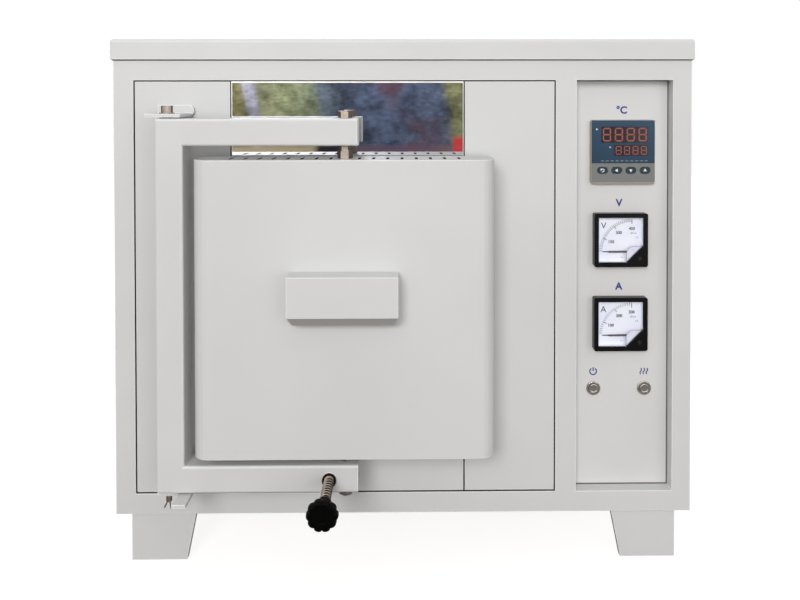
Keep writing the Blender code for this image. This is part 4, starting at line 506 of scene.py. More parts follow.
# %% Boxes, cylinders and rounded edges
def plate(name, x, y, z):
    """A box between pairs of limits."""
    bpy.ops.object.select_all(action="DESELECT")
    bpy.ops.mesh.primitive_cube_add(size=1, location=[sum(pair) / 2 for pair in (x, y, z)])
    made = bpy.context.object
    made.scale = [abs(pair[1] - pair[0]) for pair in (x, y, z)]
    return settle(made, name)


def cylinder(name, radius, y, centre, vertices):
    """A cylinder between two depths, round a place across and up."""
    bpy.ops.object.select_all(action="DESELECT")
    place = (centre[0], sum(y) / 2, centre[1])
    bpy.ops.mesh.primitive_cylinder_add(
        vertices=vertices, radius=radius, depth=y[1] - y[0], location=place, rotation=FACING_FRONT
    )
    return settle(bpy.context.object, name)


def round_edges(obj, picked, radius, segments=4):
    """Bevels the edges that picked(middle, direction) chooses."""
    only(obj)
    bpy.context.tool_settings.mesh_select_mode = (False, True, False)
    bpy.ops.object.mode_set(mode="EDIT")
    bpy.ops.mesh.select_all(action="DESELECT")
    bpy.ops.object.mode_set(mode="OBJECT")
    points = obj.data.vertices
    for edge in obj.data.edges:
        a, b = (points[i].co for i in edge.vertices)
        edge.select = picked((a + b) / 2, (b - a).normalized())
    bpy.ops.object.mode_set(mode="EDIT")
    bpy.ops.mesh.bevel(offset=radius, segments=segments)
    bpy.ops.object.mode_set(mode="OBJECT")
    return obj


def along_depth(middle, direction):
    """Picks the edges that run front to back."""
    return abs(direction.y) > 0.9


def at_depth(depth):
    """A rule that picks the edges lying at this depth."""
    return lambda middle, direction: abs(middle.y - depth) < NEAR


def cut_slot(screw, size, turn, place):
    """Cuts a box of this size, turned by an angle in degrees, out of a screw's head."""
    blade = plate("blade", *(span(0, side) for side in size))
    blade.rotation_euler = (0, math.radians(turn), 0)
    blade.location = place
    return carve(screw, settle(blade, "blade"))


print("solids ready")

# %% [markdown]
# A printed mark is a word, a straight line, a band along an arc or a triangle. Words are text turned into a
# mesh, and a line is a box turned by its angle.


# %% Printed words and lines
def lettering(name, words, centre, size, front, bold=0.0):
    """Words as a sheet of ink, centred on a place of a face that looks towards the front."""
    bpy.ops.object.select_all(action="DESELECT")
    place = (centre[0], front - INK_GAP - INK / 2, centre[1])
    bpy.ops.object.text_add(location=place, rotation=FACING_FRONT)
    made = bpy.context.object
    made.data.body = words
    made.data.size = size
    made.data.extrude = INK / 2
    made.data.offset = bold
    made.data.align_x = "CENTER"
    made.data.align_y = "CENTER"
    made.data.resolution_u = 4
    bpy.ops.object.convert(target="MESH")
    return clean(settle(bpy.context.object, name))


def tick(name, centre, angle, radii, width, front):
    """One printed line between two distances from a centre, at an angle."""
    x, z = around(centre, sum(radii) / 2, angle)
    place = (x, front - INK_GAP - INK / 2, z)
    bpy.ops.object.select_all(action="DESELECT")
    bpy.ops.mesh.primitive_cube_add(size=1, location=place, rotation=(0, -math.radians(angle), 0))
    made = bpy.context.object
    made.scale = (radii[1] - radii[0], INK, width)
    return settle(made, name)


print("words and lines ready")

# %% [markdown]
# The arc is a small section spun round its centre, and the triangle is a circle of three points that is
# filled and extruded.


# %% Printed arcs and triangles
def arc_band(name, centre, radius, width, angles, front, steps=32):
    """A printed band along an arc between two angles."""
    start, end = (math.radians(angle) for angle in angles)
    middle = front - INK_GAP - INK / 2
    x, z = around(centre, radius, angles[0])
    bpy.ops.object.select_all(action="DESELECT")
    bpy.ops.mesh.primitive_plane_add(size=1, location=(x, middle, z), rotation=(0, -start, 0))
    band = bpy.context.object
    band.scale = (width, INK, 1)
    settle(band, name)
    bpy.ops.object.mode_set(mode="EDIT")
    bpy.ops.mesh.select_all(action="SELECT")
    hub = (centre[0], middle, centre[1])
    bpy.ops.mesh.spin(steps=steps, angle=end - start, center=hub, axis=(0, 1, 0))
    bpy.ops.object.mode_set(mode="OBJECT")
    return clean(band)


def triangle(name, centre, size, turn, front):
    """A printed triangle whose point is turned by an angle from the right."""
    bpy.ops.object.select_all(action="DESELECT")
    place = (centre[0], front - INK_GAP, centre[1])
    bpy.ops.mesh.primitive_circle_add(
        vertices=3, radius=size, fill_type="NGON", location=place, rotation=FACING_FRONT
    )
    made = settle(bpy.context.object, name)
    bpy.ops.object.mode_set(mode="EDIT")
    bpy.ops.mesh.select_all(action="SELECT")
    bpy.ops.mesh.extrude_region_move(TRANSFORM_OT_translate={"value": (0, -INK, 0)})
    bpy.ops.mesh.select_all(action="SELECT")
    turned = math.radians(turn - 90)
    bpy.ops.transform.rotate(value=turned, orient_axis="Y", center_override=place)
    bpy.ops.object.mode_set(mode="OBJECT")
    return clean(made)


print("arcs and triangles ready")

# %% [markdown]
# ## Inks
# Screen-printed ink is a thick matt film with a very slightly soft edge. Four of them are used: black and
# pale grey on the dials, white on the keys, and the blue of the marks on the panel.

# %% Inks
INK_COLOURS = {"black": "#26262A", "pale": "#9DA0AB", "white": "#E6EAEC", "blue": "#1C2880"}
inks = {}
for word, colour in INK_COLOURS.items():
    inks[word], tree, shader = finish(f"screen_print_{word}", colour, 0.55)
    grain(tree, shader, 0.6, 0.01)
print("inks:", ", ".join(inks))

# %% [markdown]
# ## The controller's face
# The front of the controller is a printed film over a warm grey bezel: a blue field with two windows in
# it, and a grey field with an opening for each key. It is cut here as a maker would cut it. The windows
# are smoked dark red, and on each stand four seven-segment digits that aren't lit, so every segment shows
# as dull red.

# %% Blue film
film_blue, tree, shader = finish("printed_polyester_film", "#2F5472", 0.35, Specular_IOR_Level=0.3)
place = add_node(tree, "ShaderNodeTexCoord")
split = add_node(tree, "ShaderNodeSeparateXYZ", {"Vector": place.outputs["Object"]})
case_low, case_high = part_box("controller_case")
# The blue is a little darker towards the foot of the case and lighter towards its top.
inputs = {"Value": split.outputs["Z"], "From Min": case_low.z, "From Max": case_high.z}
rise = add_node(tree, "ShaderNodeMapRange", inputs)
inputs = {"Fac": rise.outputs["Result"]}
tone = add_node(tree, "ShaderNodeValToRGB", inputs, stops=((0.30, "#18364E"), (1.0, "#22425C")))
tree.links.new(tone.outputs["Color"], shader.inputs["Base Color"])
grain(tree, shader, 1.0, 0.01)

FILM = 0.3 * MM
FILM_GAP = 0.05 * MM
FILM_MARGIN = 0.8 * MM
FILM_SPLIT = 31.2 * MM
middle_x, middle_z = face_middle(case_low, case_high)
film_x = widen((case_low.x, case_high.x), -FILM_MARGIN)
film_y = (case_low.y - FILM_GAP - FILM, case_low.y - FILM_GAP)
film = plate("controller_film", film_x, film_y, (case_low.z + FILM_SPLIT, case_high.z - FILM_MARGIN))
print(f"film {FILM / MM:.1f} mm thick")

# %% [markdown]
# Both displays are given by the same measures, so that one table serves for the openings, the windows and
# the digits: where the middle lies from the controller's middle, the window's size, a digit's size and the
# distance from digit to digit.

# %% Openings for the displays
DISPLAYS = {
    "main": {
        "middle": (2.4 * MM, 26.0 * MM),
        "window": (70.5 * MM, 24.0 * MM),
        "digit": (12.6 * MM, 20.6 * MM),
        "pitch": 17.8 * MM,
    },
    "set": {
        "middle": (12.1 * MM, 2.5 * MM),
        "window": (51.0 * MM, 16.0 * MM),
        "digit": (8.9 * MM, 12.8 * MM),
        "pitch": 12.6 * MM,
    },
}


def window_limits(size, inset=0.0):
    """A display's limits across and up, drawn in by this much all round."""
    centre = (middle_x + size["middle"][0], middle_z + size["middle"][1])
    return [widen(span(place, side), -inset) for place, side in zip(centre, size["window"])]


for size in DISPLAYS.values():
    x, z = window_limits(size)
    carve(film, plate("opening", x, widen(film_y, OVERCUT), z))
dress(film, film_blue, "cabinet")

# %% [markdown]
# The keys stand in a grey field below. Its four openings are ovals a little larger than the keys: a box
# with its upright corners bevelled by almost half its height is such an oval, so it serves as the cutter.

# %% Grey field round the keys
film_grey, tree, shader = finish("grey_polyester_film", "#757875", 0.38, Specular_IOR_Level=0.35)
grain(tree, shader, 1.0, 0.01)
FIELD_FOOT = 2.6 * MM
KEY_MARGIN = 0.4 * MM
OVAL_SHARE = 0.49
field_z = (case_low.z + FIELD_FOOT, case_low.z + FILM_SPLIT - FILM_GAP)
field = plate("controller_key_field", film_x, film_y, field_z)
for word in ("set", "left", "down", "up"):
    low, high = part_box(f"controller_key_{word}")
    x, z = widen((low.x, high.x), KEY_MARGIN), widen((low.z, high.z), KEY_MARGIN)
    oval = plate("oval", x, widen(film_y, OVERCUT), z)
    round_edges(oval, along_depth, (z[1] - z[0]) * OVAL_SHARE, 8)
    carve(field, oval)
dress(field, film_grey, "cabinet")

# %% [markdown]
# A display's window is a thin pane of smoked acrylic, flush with the film. It is a box with its corners
# rounded a little, a quarter of a millimetre smaller than its opening, so that a fine gap shows all round.

# %% Smoked windows
smoked, tree, shader = finish("smoked_red_window", "#241A20", 0.12, Specular_IOR_Level=0.3)
mottle(tree, shader, "Base Color", 8, ((0.30, "#20161C"), (0.75, "#2B1D24")))
WINDOW_INSET = 0.25 * MM
WINDOW_CORNER = 0.8 * MM
for word, size in DISPLAYS.items():
    x, z = window_limits(size, WINDOW_INSET)
    pane = plate(f"{word}_display_window", x, film_y, z)
    round_edges(pane, along_depth, WINDOW_CORNER, 3)
    dress(pane, smoked, "cabinet")

# %% [markdown]
# A digit is one bar used seven times. The bar is a box whose ends are bevelled to points, and the seven
# copies differ only in place and quarter turns, so one table of places says it all. A bar's width is a
# share of the digit's height, and the slit between bars and a point's length are shares of a bar's width.

# %% Seven-segment digits
unlit, tree, shader = finish("unlit_red_segments", "#8E4A3F", 0.40)
mottle(tree, shader, "Base Color", 5, ((0.30, "#824238"), (0.70, "#9A5247")))
SEGMENTS = ((0, 1, 0), (0, 0, 0), (0, -1, 0), (-1, 0.5, 1), (1, 0.5, 1), (-1, -0.5, 1), (1, -0.5, 1))
BAR_SHARE = 0.1054
SLIT_SHARE = 0.35
POINT_SHARE = 0.45
film_ink = (film_y[0] - INK_GAP - INK, film_y[0] - INK_GAP)


def digit(name, centre, size):
    """The seven bars of one digit, printed on its window."""
    width, height = size
    bar = height * BAR_SHARE
    reach = ((width - bar) / 2, (height - bar) / 2)
    bars = []
    for across, up, upright in SEGMENTS:
        length = (reach[1] if upright else 2 * reach[0]) - bar * SLIT_SHARE
        wide, tall = (bar, length) if upright else (length, bar)
        x, z = span(centre[0] + across * reach[0], wide), span(centre[1] + up * reach[1], tall)
        bars.append(round_edges(plate(name, x, film_ink, z), along_depth, bar * POINT_SHARE, 1))
    return fuse(name, bars)


for word, size in DISPLAYS.items():
    digits = []
    for number in (-1.5, -0.5, 0.5, 1.5):
        across = middle_x + size["middle"][0] + number * size["pitch"]
        centre = (across, middle_z + size["middle"][1])
        digits.append(digit(f"{word}_digits", centre, size["digit"]))
    dress(fuse(f"{word}_digits", digits), unlit, "cabinet")

# %% [markdown]
# Under the windows runs a row of ten status bars, and a small printed pointer stands beside each display.

# %% Status bars and display pointers
BAR_WIDTH, BAR_HEIGHT, BAR_PITCH = 4.3 * MM, 0.8 * MM, 7.3 * MM
BAR_COUNT = 10
BAR_SHIFT, BAR_DROP = 1.9 * MM, 13.2 * MM
POINTERS = ((-39.5 * MM, 34 * MM, 1.8 * MM), (-19.5 * MM, 7 * MM, 1.5 * MM))
first_x = middle_x + BAR_SHIFT - (BAR_COUNT - 1) * BAR_PITCH / 2
bar = plate("status_bars", span(first_x, BAR_WIDTH), film_ink, span(middle_z - BAR_DROP, BAR_HEIGHT))
bars = copies(bar, [(number * BAR_PITCH, 0, 0) for number in range(BAR_COUNT)])
dress(fuse("status_bars", bars), inks["pale"], "cabinet")
pointers = []
for across, up, size in POINTERS:
    place = (middle_x + across, middle_z + up)
    pointers.append(triangle("display_pointers", place, size, 0, film_y[0]))
dress(fuse("display_pointers", pointers), inks["white"], "cabinet")

# %% [markdown]
# ## Key symbols
# Each key has a white mark: a loop that ends in an arrow, and three triangles that point left, down and up.
# The marks ride on the keys, so they sink with them when pressed.

# %% Symbols on the keys
MARK_RADIUS = 2.9 * MM
for word, turn in (("left", 180), ("down", 270), ("up", 90)):
    low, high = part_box(f"controller_key_{word}")
    mark = triangle(f"{word}_key_mark", face_middle(low, high), MARK_RADIUS, turn, low.y)
    dress(mark, inks["white"], f"{word}_key")
LOOP_RADIUS, LOOP_LINE, LOOP_ANGLES = 2.3 * MM, 1.1 * MM, (-120, 150)
HEAD_RADIUS, HEAD_TURN = 1.9 * MM, 245
low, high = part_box("controller_key_set")
centre = face_middle(low, high)
loop = arc_band("set_key_mark", centre, LOOP_RADIUS, LOOP_LINE, LOOP_ANGLES, low.y, 20)
tip = around(centre, LOOP_RADIUS, LOOP_ANGLES[1])
head = triangle("set_key_mark", tip, HEAD_RADIUS, HEAD_TURN, low.y - INK - INK_GAP)
dress(fuse("set_key_mark", [loop, head]), inks["white"], "set_key")

# %% [markdown]
# ## Meter dials
# A moving-iron meter has a quarter-circle scale centred on its pivot in the lower right corner, cramped at
# the low end because the force grows with the square of the current. Both scales here are a fan of fine
# ticks with three figures, and the voltmeter's has a grey band too. The fine ticks are given by their first
# angle, the step and their number, and a small print by its place from the dial's middle and its size.

# %% What the dials show
PIVOT_OFFSET = 18.5 * MM
SCALE_RADIUS = 46.5 * MM
BAND_INSET, BAND_WIDTH = 1.4 * MM, 0.6 * MM
FINE_WIDTH, MAIN_WIDTH = 1.1 * MM, 0.9 * MM
MAIN_TICK = (SCALE_RADIUS - 5.0 * MM, SCALE_RADIUS + 1.2 * MM)
FIGURE_RADIUS, FIGURE_SIZE, FIGURE_BOLD = 34.5 * MM, 6.2 * MM, 0.22 * MM
DIALS = {
    "voltmeter": {
        "letter": "V",
        "bands": ((90, 178),),
        "fine": (178, 3.52, 26),
        "fine_tick": (SCALE_RADIUS - 1.6 * MM, SCALE_RADIUS + 2.8 * MM),
        "figures": ((155, "150"), (125, "300"), (90, "450")),
    },
    "ammeter": {
        "letter": "A",
        "bands": (),
        "fine": (176, 4.1, 22),
        "fine_tick": (SCALE_RADIUS - 1.8 * MM, SCALE_RADIUS + 2.4 * MM),
        "figures": ((155, "100"), (123, "200"), (90, "300")),
    },
}
SMALL_PRINT = (
    ("2.5", 26 * MM, 2.5 * MM, 3.4 * MM, 0),
    ("50 Hz", 21 * MM, 9 * MM, 3.8 * MM, 0),
    ("~", 3.5 * MM, -27 * MM, 6 * MM, 0),
)
print("dials:", ", ".join(DIALS))

# %% [markdown]
# The band is spun, the ticks are boxes set out by angle, and the figures are text turned into a mesh. The
# pale lines and the dark prints are gathered in two lists, and each list is joined into one piece. A line
# that crosses another lies one sheet of ink further out, so that the two share no face.

# %% Dial prints
for meter, facts in DIALS.items():
    low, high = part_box(f"{meter}_dial")
    middle = face_middle(low, high)
    pivot = (middle[0] + PIVOT_OFFSET, middle[1] - PIVOT_OFFSET)
    dark, pale = [], []
    for angles in facts["bands"]:
        pale.append(arc_band("scale_band", pivot, SCALE_RADIUS - BAND_INSET, BAND_WIDTH, angles, low.y))
    first, step, count = facts["fine"]
    over = low.y - INK - INK_GAP
    for number in range(count):
        pale.append(tick("fine_tick", pivot, first - step * number, facts["fine_tick"], FINE_WIDTH, over))
    for angle, figure in facts["figures"]:
        dark.append(tick("main_tick", pivot, angle, MAIN_TICK, MAIN_WIDTH, over - INK - INK_GAP))
        place = around(pivot, FIGURE_RADIUS, angle)
        dark.append(lettering("figure", figure, place, FIGURE_SIZE, low.y, FIGURE_BOLD))
    letter = (facts["letter"], -24 * MM, 20 * MM, 13 * MM, 0.1 * MM)
    for words, across, up, size, bold in (letter, *SMALL_PRINT):
        place = (middle[0] + across, middle[1] + up)
        dark.append(lettering("small_print", words, place, size, low.y, bold))
    dress(fuse(f"{meter}_scale", pale), inks["pale"], "cabinet")
    dress(fuse(f"{meter}_figures", dark), inks["black"], "cabinet")

# %% [markdown]
# The needle is thickened by a bar, which balances it. The places of the bar's two ends are shares of the
# needle's length, counted from its pivot, and the bar rides on the needle's body.

# %% Balance bars
WEIGHT_SHARES = (0.10, 0.80)
WEIGHT_HEIGHT, WEIGHT_THICKNESS = 2.8 * MM, 0.4 * MM
WEIGHT_GAP = 0.1 * MM
WEIGHT_CORNER = 0.84 * MM
for meter in DIALS:
    low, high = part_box(f"{meter}_needle")
    near, far = (high.x - (high.x - low.x) * share for share in WEIGHT_SHARES)
    y = (low.y - WEIGHT_GAP - WEIGHT_THICKNESS, low.y - WEIGHT_GAP)
    z = span(face_middle(low, high)[1], WEIGHT_HEIGHT)
    bar = plate(f"{meter}_needle_bar", (far, near), y, z)
    round_edges(bar, along_depth, WEIGHT_CORNER, 2)
    dress(bar, needle, f"{meter}_pointer")

# %% [markdown]
# A white liner runs round the walls between dial and cover, so that no black wall darkens the scale. It
# is a box hollowed out by a smaller one, and a plane cuts off the corner that the case covers.

# %% Meter liners
LINER_AIR = 0.06 * MM
LINER_WALL = 0.3 * MM
LINER_CORNER_AIR = 0.1 * MM
CORNER_CUT = 25 * MM


def slice_corner(obj, right, foot, air):
    """Cuts off the lower right corner, where the black corner of the case is."""
    only(obj)
    bpy.ops.object.mode_set(mode="EDIT")
    bpy.ops.mesh.select_all(action="SELECT")
    diagonal = Vector((right, 0, foot + CORNER_CUT)) + Vector((-1, 0, 1)) * air
    bpy.ops.mesh.bisect(plane_co=diagonal, plane_no=(1, 0, -1), use_fill=True, clear_outer=True)
    bpy.ops.object.mode_set(mode="OBJECT")
    clean(obj)


for meter in DIALS:
    low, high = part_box(f"{meter}_window")
    dial_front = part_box(f"{meter}_dial")[0].y
    y = widen((high.y, dial_front), -LINER_AIR)
    x, z = (widen((low[axis], high[axis]), -LINER_AIR) for axis in (0, 2))
    liner = plate(f"{meter}_liner", x, y, z)
    carve(liner, plate("inside", widen(x, -LINER_WALL), widen(y, OVERCUT), widen(z, -LINER_WALL)))
    slice_corner(liner, high.x, low.z, LINER_CORNER_AIR)
    dress(liner, dial, "cabinet")

# %% [markdown]
# The moulded cover swells over the needle's pivot. Seen from the front that boss is a lilac field with one
# rounded corner, and a fine grey line follows its edge.

# %% Boss over the pivot
BOSS_AIR = 0.4 * MM
BOSS_LEFT, BOSS_TOP = 8.6 * MM, 9.4 * MM
BOSS_THICKNESS = 1.2 * MM
BOSS_RADIUS = 12 * MM
BOSS_LINE = 0.8 * MM
BOSS_LINE_END = 1.5 * MM
for meter in DIALS:
    low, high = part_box(f"{meter}_window")
    middle = face_middle(low, high)
    left, top = middle[0] + BOSS_LEFT, middle[1] - BOSS_TOP
    right, foot = high.x - BOSS_AIR, low.z + BOSS_AIR
    y = (high.y + BOSS_AIR, high.y + BOSS_AIR + BOSS_THICKNESS)

    def upper_left(middle, direction):
        """Picks the corner that is rounded."""
        near = middle.x < left + BOSS_AIR and middle.z > top - BOSS_AIR
        return along_depth(middle, direction) and near

    swell = plate(f"{meter}_boss", (left, right), y, (foot, top))
    round_edges(swell, upper_left, BOSS_RADIUS, 10)
    slice_corner(swell, high.x, low.z, BOSS_AIR)
    dress(swell, boss, "cabinet")

    turn_x, turn_z = left + BOSS_RADIUS, top - BOSS_RADIUS
    line_end = foot + (left - (high.x - CORNER_CUT)) + BOSS_LINE_END
    across, upright = ((turn_x + right) / 2, top), (left, (turn_z + line_end) / 2)
    rim = [
        arc_band("rim", (turn_x, turn_z), BOSS_RADIUS, BOSS_LINE, (90, 180), y[0]),
        tick("rim", across, 0, span(0, right - turn_x), BOSS_LINE, y[0]),
        tick("rim", upright, 90, span(0, turn_z - line_end), BOSS_LINE, y[0]),
    ]
    dress(fuse(f"{meter}_boss_rim", rim), inks["pale"], "cabinet")

# %% [markdown]
# In the black corner of the case a slotted screw sets the needle's zero. It is a cylinder with a rounded
# edge, and its slot is a box turned by 40 degrees and carved out.

# %% Zero screws
ZERO_INSET, ZERO_RISE = 12.2 * MM, 12.6 * MM
ZERO_RADIUS, ZERO_HEIGHT, ZERO_EDGE = 3.1 * MM, 0.8 * MM, 0.25 * MM
ZERO_SLOT, ZERO_TURN = (8 * MM, 0.7 * MM, 0.8 * MM), 40
for meter in DIALS:
    low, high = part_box(f"{meter}_case")
    centre = (high.x - ZERO_INSET, low.z + ZERO_RISE)
    y = span(low.y, ZERO_HEIGHT)
    screw = cylinder(f"{meter}_zero_screw", ZERO_RADIUS, y, centre, 28)
    round_edges(screw, at_depth(y[0]), ZERO_EDGE, 2)
    cut_slot(screw, ZERO_SLOT, ZERO_TURN, (centre[0], y[0], centre[1]))
    dress(screw, glossy, "cabinet")

# %% [markdown]
# ## Button marks
# Each push button's ring has a short index line at the top, and its cap a turned groove. The line is filled
# with dark paint.

# %% Index lines
index_dark = finish("dark_index_paint", "#3A3430", 0.45)[0]
INDEX_WIDTH = 1.0 * MM
INDEX_FOOT, INDEX_TOP = 3.2 * MM, 1.2 * MM
for word in ("power", "heating"):
    low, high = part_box(f"{word}_button_ring")
    x, z = span(face_middle(low, high)[0], INDEX_WIDTH), (high.z - INDEX_FOOT, high.z - INDEX_TOP)
    line = plate(f"{word}_index_line", x, (low.y - INK, low.y - INK_GAP), z)
    dress(line, index_dark, "cabinet")

# %% [markdown]
# ## Marks on the panel
# What each instrument is for is printed above it in blue. Plain unit signs and the usual signs for power
# and heat are used, so they say the same thing in any language: a degree sign, V, A, a circle broken by a
# line, and three rising waves. The waves are bands spun back and forth.

# %% Panel marks
panel_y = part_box("control_panel")[0].y
UNITS = (("controller_case", "°C"), ("voltmeter_case", "V"), ("ammeter_case", "A"))
UNIT_RISE, UNIT_SIZE, UNIT_BOLD = 14 * MM, 15 * MM, 0.5 * MM
marks = []
for node, words in UNITS:
    low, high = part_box(node)
    place = (face_middle(low, high)[0], high.z + UNIT_RISE)
    marks.append(lettering("panel_mark", words, place, UNIT_SIZE, panel_y, UNIT_BOLD))
SIGN_RISE, SIGN_RADIUS, SIGN_LINE = 25 * MM, 5 * MM, 1.8 * MM
SIGN_ANGLES, SIGN_STROKE = (122, 418), (0.4 * MM, 6.2 * MM)
x, z = face_middle(*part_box("power_button_ring"))
marks.append(arc_band("power_sign", (x, z + SIGN_RISE), SIGN_RADIUS, SIGN_LINE, SIGN_ANGLES, panel_y))
marks.append(tick("power_sign", (x, z + SIGN_RISE), 90, SIGN_STROKE, SIGN_LINE, panel_y))
WAVE_RADIUS, WAVE_PITCH, WAVE_LINE = 3.0 * MM, 4.6 * MM, 1.6 * MM
WAVE_HALVES = ((130, (-50, 50)), (-50, (130, 230)))
x, z = face_middle(*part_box("heating_button_ring"))
for number in (-1, 0, 1):
    for turn, angles in WAVE_HALVES:
        hub = around((x + number * WAVE_PITCH, z + SIGN_RISE), WAVE_RADIUS, turn)
        marks.append(arc_band("wave", hub, WAVE_RADIUS, WAVE_LINE, angles, panel_y, 10))
dress(fuse("panel_marks", marks), inks["blue"], "cabinet")

# %% [markdown]
# ## Painted shade in the gaps
# The front panels stand in the frame's window with a gap of 1.5 mm all round. A black cord lies in the gap,
# a little behind the faces, as painted shade: it makes every joint between two panels a fine dark line. A
# thin black strip on the frame under the cover's edge is painted shadow, the dark line under the cover. A
# brown bead in the corner between the recessed panel and the recess's walls is painted shade too.

# %% Painted shade in the panel gaps
gap_shade_black, tree, shader = finish("black_painted_gap_shade", "#161412", 0.7, Specular_IOR_Level=0.2)
grain(tree, shader, 1.5, 0.05)
SHADE_SUNK = 0.3 * MM
SHADE_DEPTH = 3.0 * MM
SHADE_AIR = 0.06 * MM
left_low, left_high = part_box("left_front_panel")
right_low, right_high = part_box("right_front_panel")
shield_low, shield_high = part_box("heat_shield")
below_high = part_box("lower_front_panel")[1]
joint = (shield_low.x - left_high.x) - 2 * SHADE_AIR
gap_shade_y = (left_low.y + SHADE_SUNK, left_low.y + SHADE_SUNK + SHADE_DEPTH)
window_x, window_z = (left_low.x, right_high.x), (left_low.z, left_high.z)
upright_gaps = ((left_high.x, shield_low.x), (shield_high.x, right_low.x))


def ring(name, x, y, z, air, width):
    """A rectangular frame that stands this far outside the given limits."""
    inner = [widen(pair, air) for pair in (x, z)]
    outer = [widen(pair, width) for pair in inner]
    made = plate(name, outer[0], y, outer[1])
    return carve(made, plate("inside", inner[0], widen(y, OVERCUT), inner[1]))


# Painted shade: a black cord behind the panel gaps darkens them.
gap_shade = ring("panel_gap_shade", window_x, gap_shade_y, window_z, SHADE_AIR, joint)
dress(gap_shade, gap_shade_black, "cabinet")
lines = [plate("joint", widen(gap, -SHADE_AIR), gap_shade_y, window_z) for gap in upright_gaps]
between = widen((below_high.z, shield_low.z), -SHADE_AIR)
lines.append(plate("joint", (shield_low.x, shield_high.x), gap_shade_y, between))
dress(fuse("panel_joints", lines), gap_shade_black, "cabinet")

# %% [markdown]
# The cord has a thin lip that lies on the faces on both sides of the gap and hides its edges. It makes the
# painted shade a little wider than the gap itself.

# %% Lips of the painted gap shade
LIP, LIP_LIFT, LIP_THICKNESS = 0.35 * MM, 0.05 * MM, 0.20 * MM
lip_y = (left_low.y - LIP_LIFT - LIP_THICKNESS, left_low.y - LIP_LIFT)
x, z = widen(window_x, -LIP), widen(window_z, -LIP)
lips = [ring("lip", x, lip_y, z, 0, joint + 2 * (SHADE_AIR + LIP))]
lips += [plate("lip", widen(gap, LIP), lip_y, z) for gap in upright_gaps]
dress(fuse("panel_gap_shade_lips", lips), gap_shade_black, "cabinet")

# %% [markdown]
# The black strip of painted shadow is one sheet with the cabinet's outline cut out of it, left open at the
# back, where the rear panel closes the joint.

# %% Painted shadow under the cover
STRIP_HEIGHT, STRIP_WIDTH = 0.9 * MM, 1.4 * MM
frame_low, frame_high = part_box("front_frame")
x, y = (frame_low.x, frame_high.x), (frame_low.y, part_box("side_panel_left")[1].y)
z = (frame_high.z - STRIP_HEIGHT, frame_high.z - SHADE_AIR)
# Painted shadow: a black strip under the cover's edge.
strip = plate("cover_painted_shadow", widen(x, STRIP_WIDTH), (y[0] - STRIP_WIDTH, y[1]), z)
inside = plate("inside", widen(x, SHADE_AIR), (y[0] - SHADE_AIR, y[1] + OVERCUT), widen(z, OVERCUT))
dress(carve(strip, inside), gap_shade_black, "cabinet")

# %% [markdown]
# The bead of painted shade is a square frame less than a millimetre wide, made by the same helper as the
# black cord. Its brown varies along its length.

# %% Painted shade round the recessed panel
corner_shade_brown, tree, shader = finish("brown_painted_corner_shade", "#4B4138", 0.6)
mottle(tree, shader, "Base Color", 30, ((0.30, "#3A322B"), (0.70, "#5A4F45")))
CORNER_SHADE_WIDTH = 0.9 * MM
low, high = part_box("control_panel")
x, z = (widen((low[axis], high[axis]), -CORNER_SHADE_WIDTH - SHADE_AIR) for axis in (0, 2))
# Painted shade: a brown bead in the corner of the recess.
corner_shade = ring("panel_corner_shade", x, (low.y - CORNER_SHADE_WIDTH, low.y - INK_GAP), z, 0, CORNER_SHADE_WIDTH)
dress(corner_shade, corner_shade_brown, "cabinet")

# %% [markdown]
# ## Hem of the heat shield
# The polished sheet has a narrow hem folded back on itself at its top and sides, which keeps a thin sheet
# flat. The fold isn't polished, so it shows as a light line round the mirror.

# %% Hem
hemmed, tree, shader = finish("unpolished_stainless_hem", "#E4E2DF", 0.38, metallic=1.0)
mottle(tree, shader, "Roughness", 5, ((0.30, 0.30), (0.70, 0.45)), stretch=(0.2, 1, 1))
HEM_WIDTH, HEM_SIDE = 2.4 * MM, 1.1 * MM
HEM_THICKNESS, HEM_FOLD = 0.5 * MM, 0.2 * MM
low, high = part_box("heat_shield")
x, y = (low.x, high.x), (low.y - INK_GAP - HEM_THICKNESS, low.y - INK_GAP)
hem = plate("heat_shield_hem", x, y, (low.z, high.z))
z = (low.z - OVERCUT, high.z - HEM_WIDTH)
carve(hem, plate("inside", widen(x, -HEM_SIDE), widen(y, OVERCUT), z))
round_edges(hem, at_depth(y[0]), HEM_FOLD, 2)
dress(hem, hemmed, "cabinet")

# %% [markdown]
# ## Cup under the lock spring
# The spring's fixed end sits in a shallow steel cup on the yoke, so that it can't wander on the paint. The
# cup is a cylinder that is hollowed by a second one and bored by a third.

# %% Spring cup
CUP_RADIUS, CUP_INNER_RADIUS, CUP_BORE_RADIUS = 10.0 * MM, 8.7 * MM, 5.0 * MM
CUP_HEIGHT, CUP_FLOOR = 1.6 * MM, 0.2 * MM
CUP_SIDES = 40
low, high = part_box("lock_spring")
centre_x, centre_z = face_middle(low, high)
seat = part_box("yoke_frame")[0].y - INK_GAP
axis = (centre_x, centre_z)
cup = cylinder("spring_cup", CUP_RADIUS, (seat - CUP_HEIGHT, seat), axis, CUP_SIDES)
hollow_y, bore_y = (seat - 2 * CUP_HEIGHT, seat - CUP_FLOOR), (seat - CUP_HEIGHT, seat + CUP_HEIGHT)
carve(cup, cylinder("hollow", CUP_INNER_RADIUS, hollow_y, axis, CUP_SIDES))
carve(cup, cylinder("bore", CUP_BORE_RADIUS, bore_y, axis, CUP_SIDES))
dress(cup, rod, "yoke")

# %% [markdown]
# ## A spring that shortens
# The imported spring is rigid, so when the knob is pressed the washer would slide through its turns. A copy
# stands in its place: its loose triangles are merged and its faces are shaded smooth.

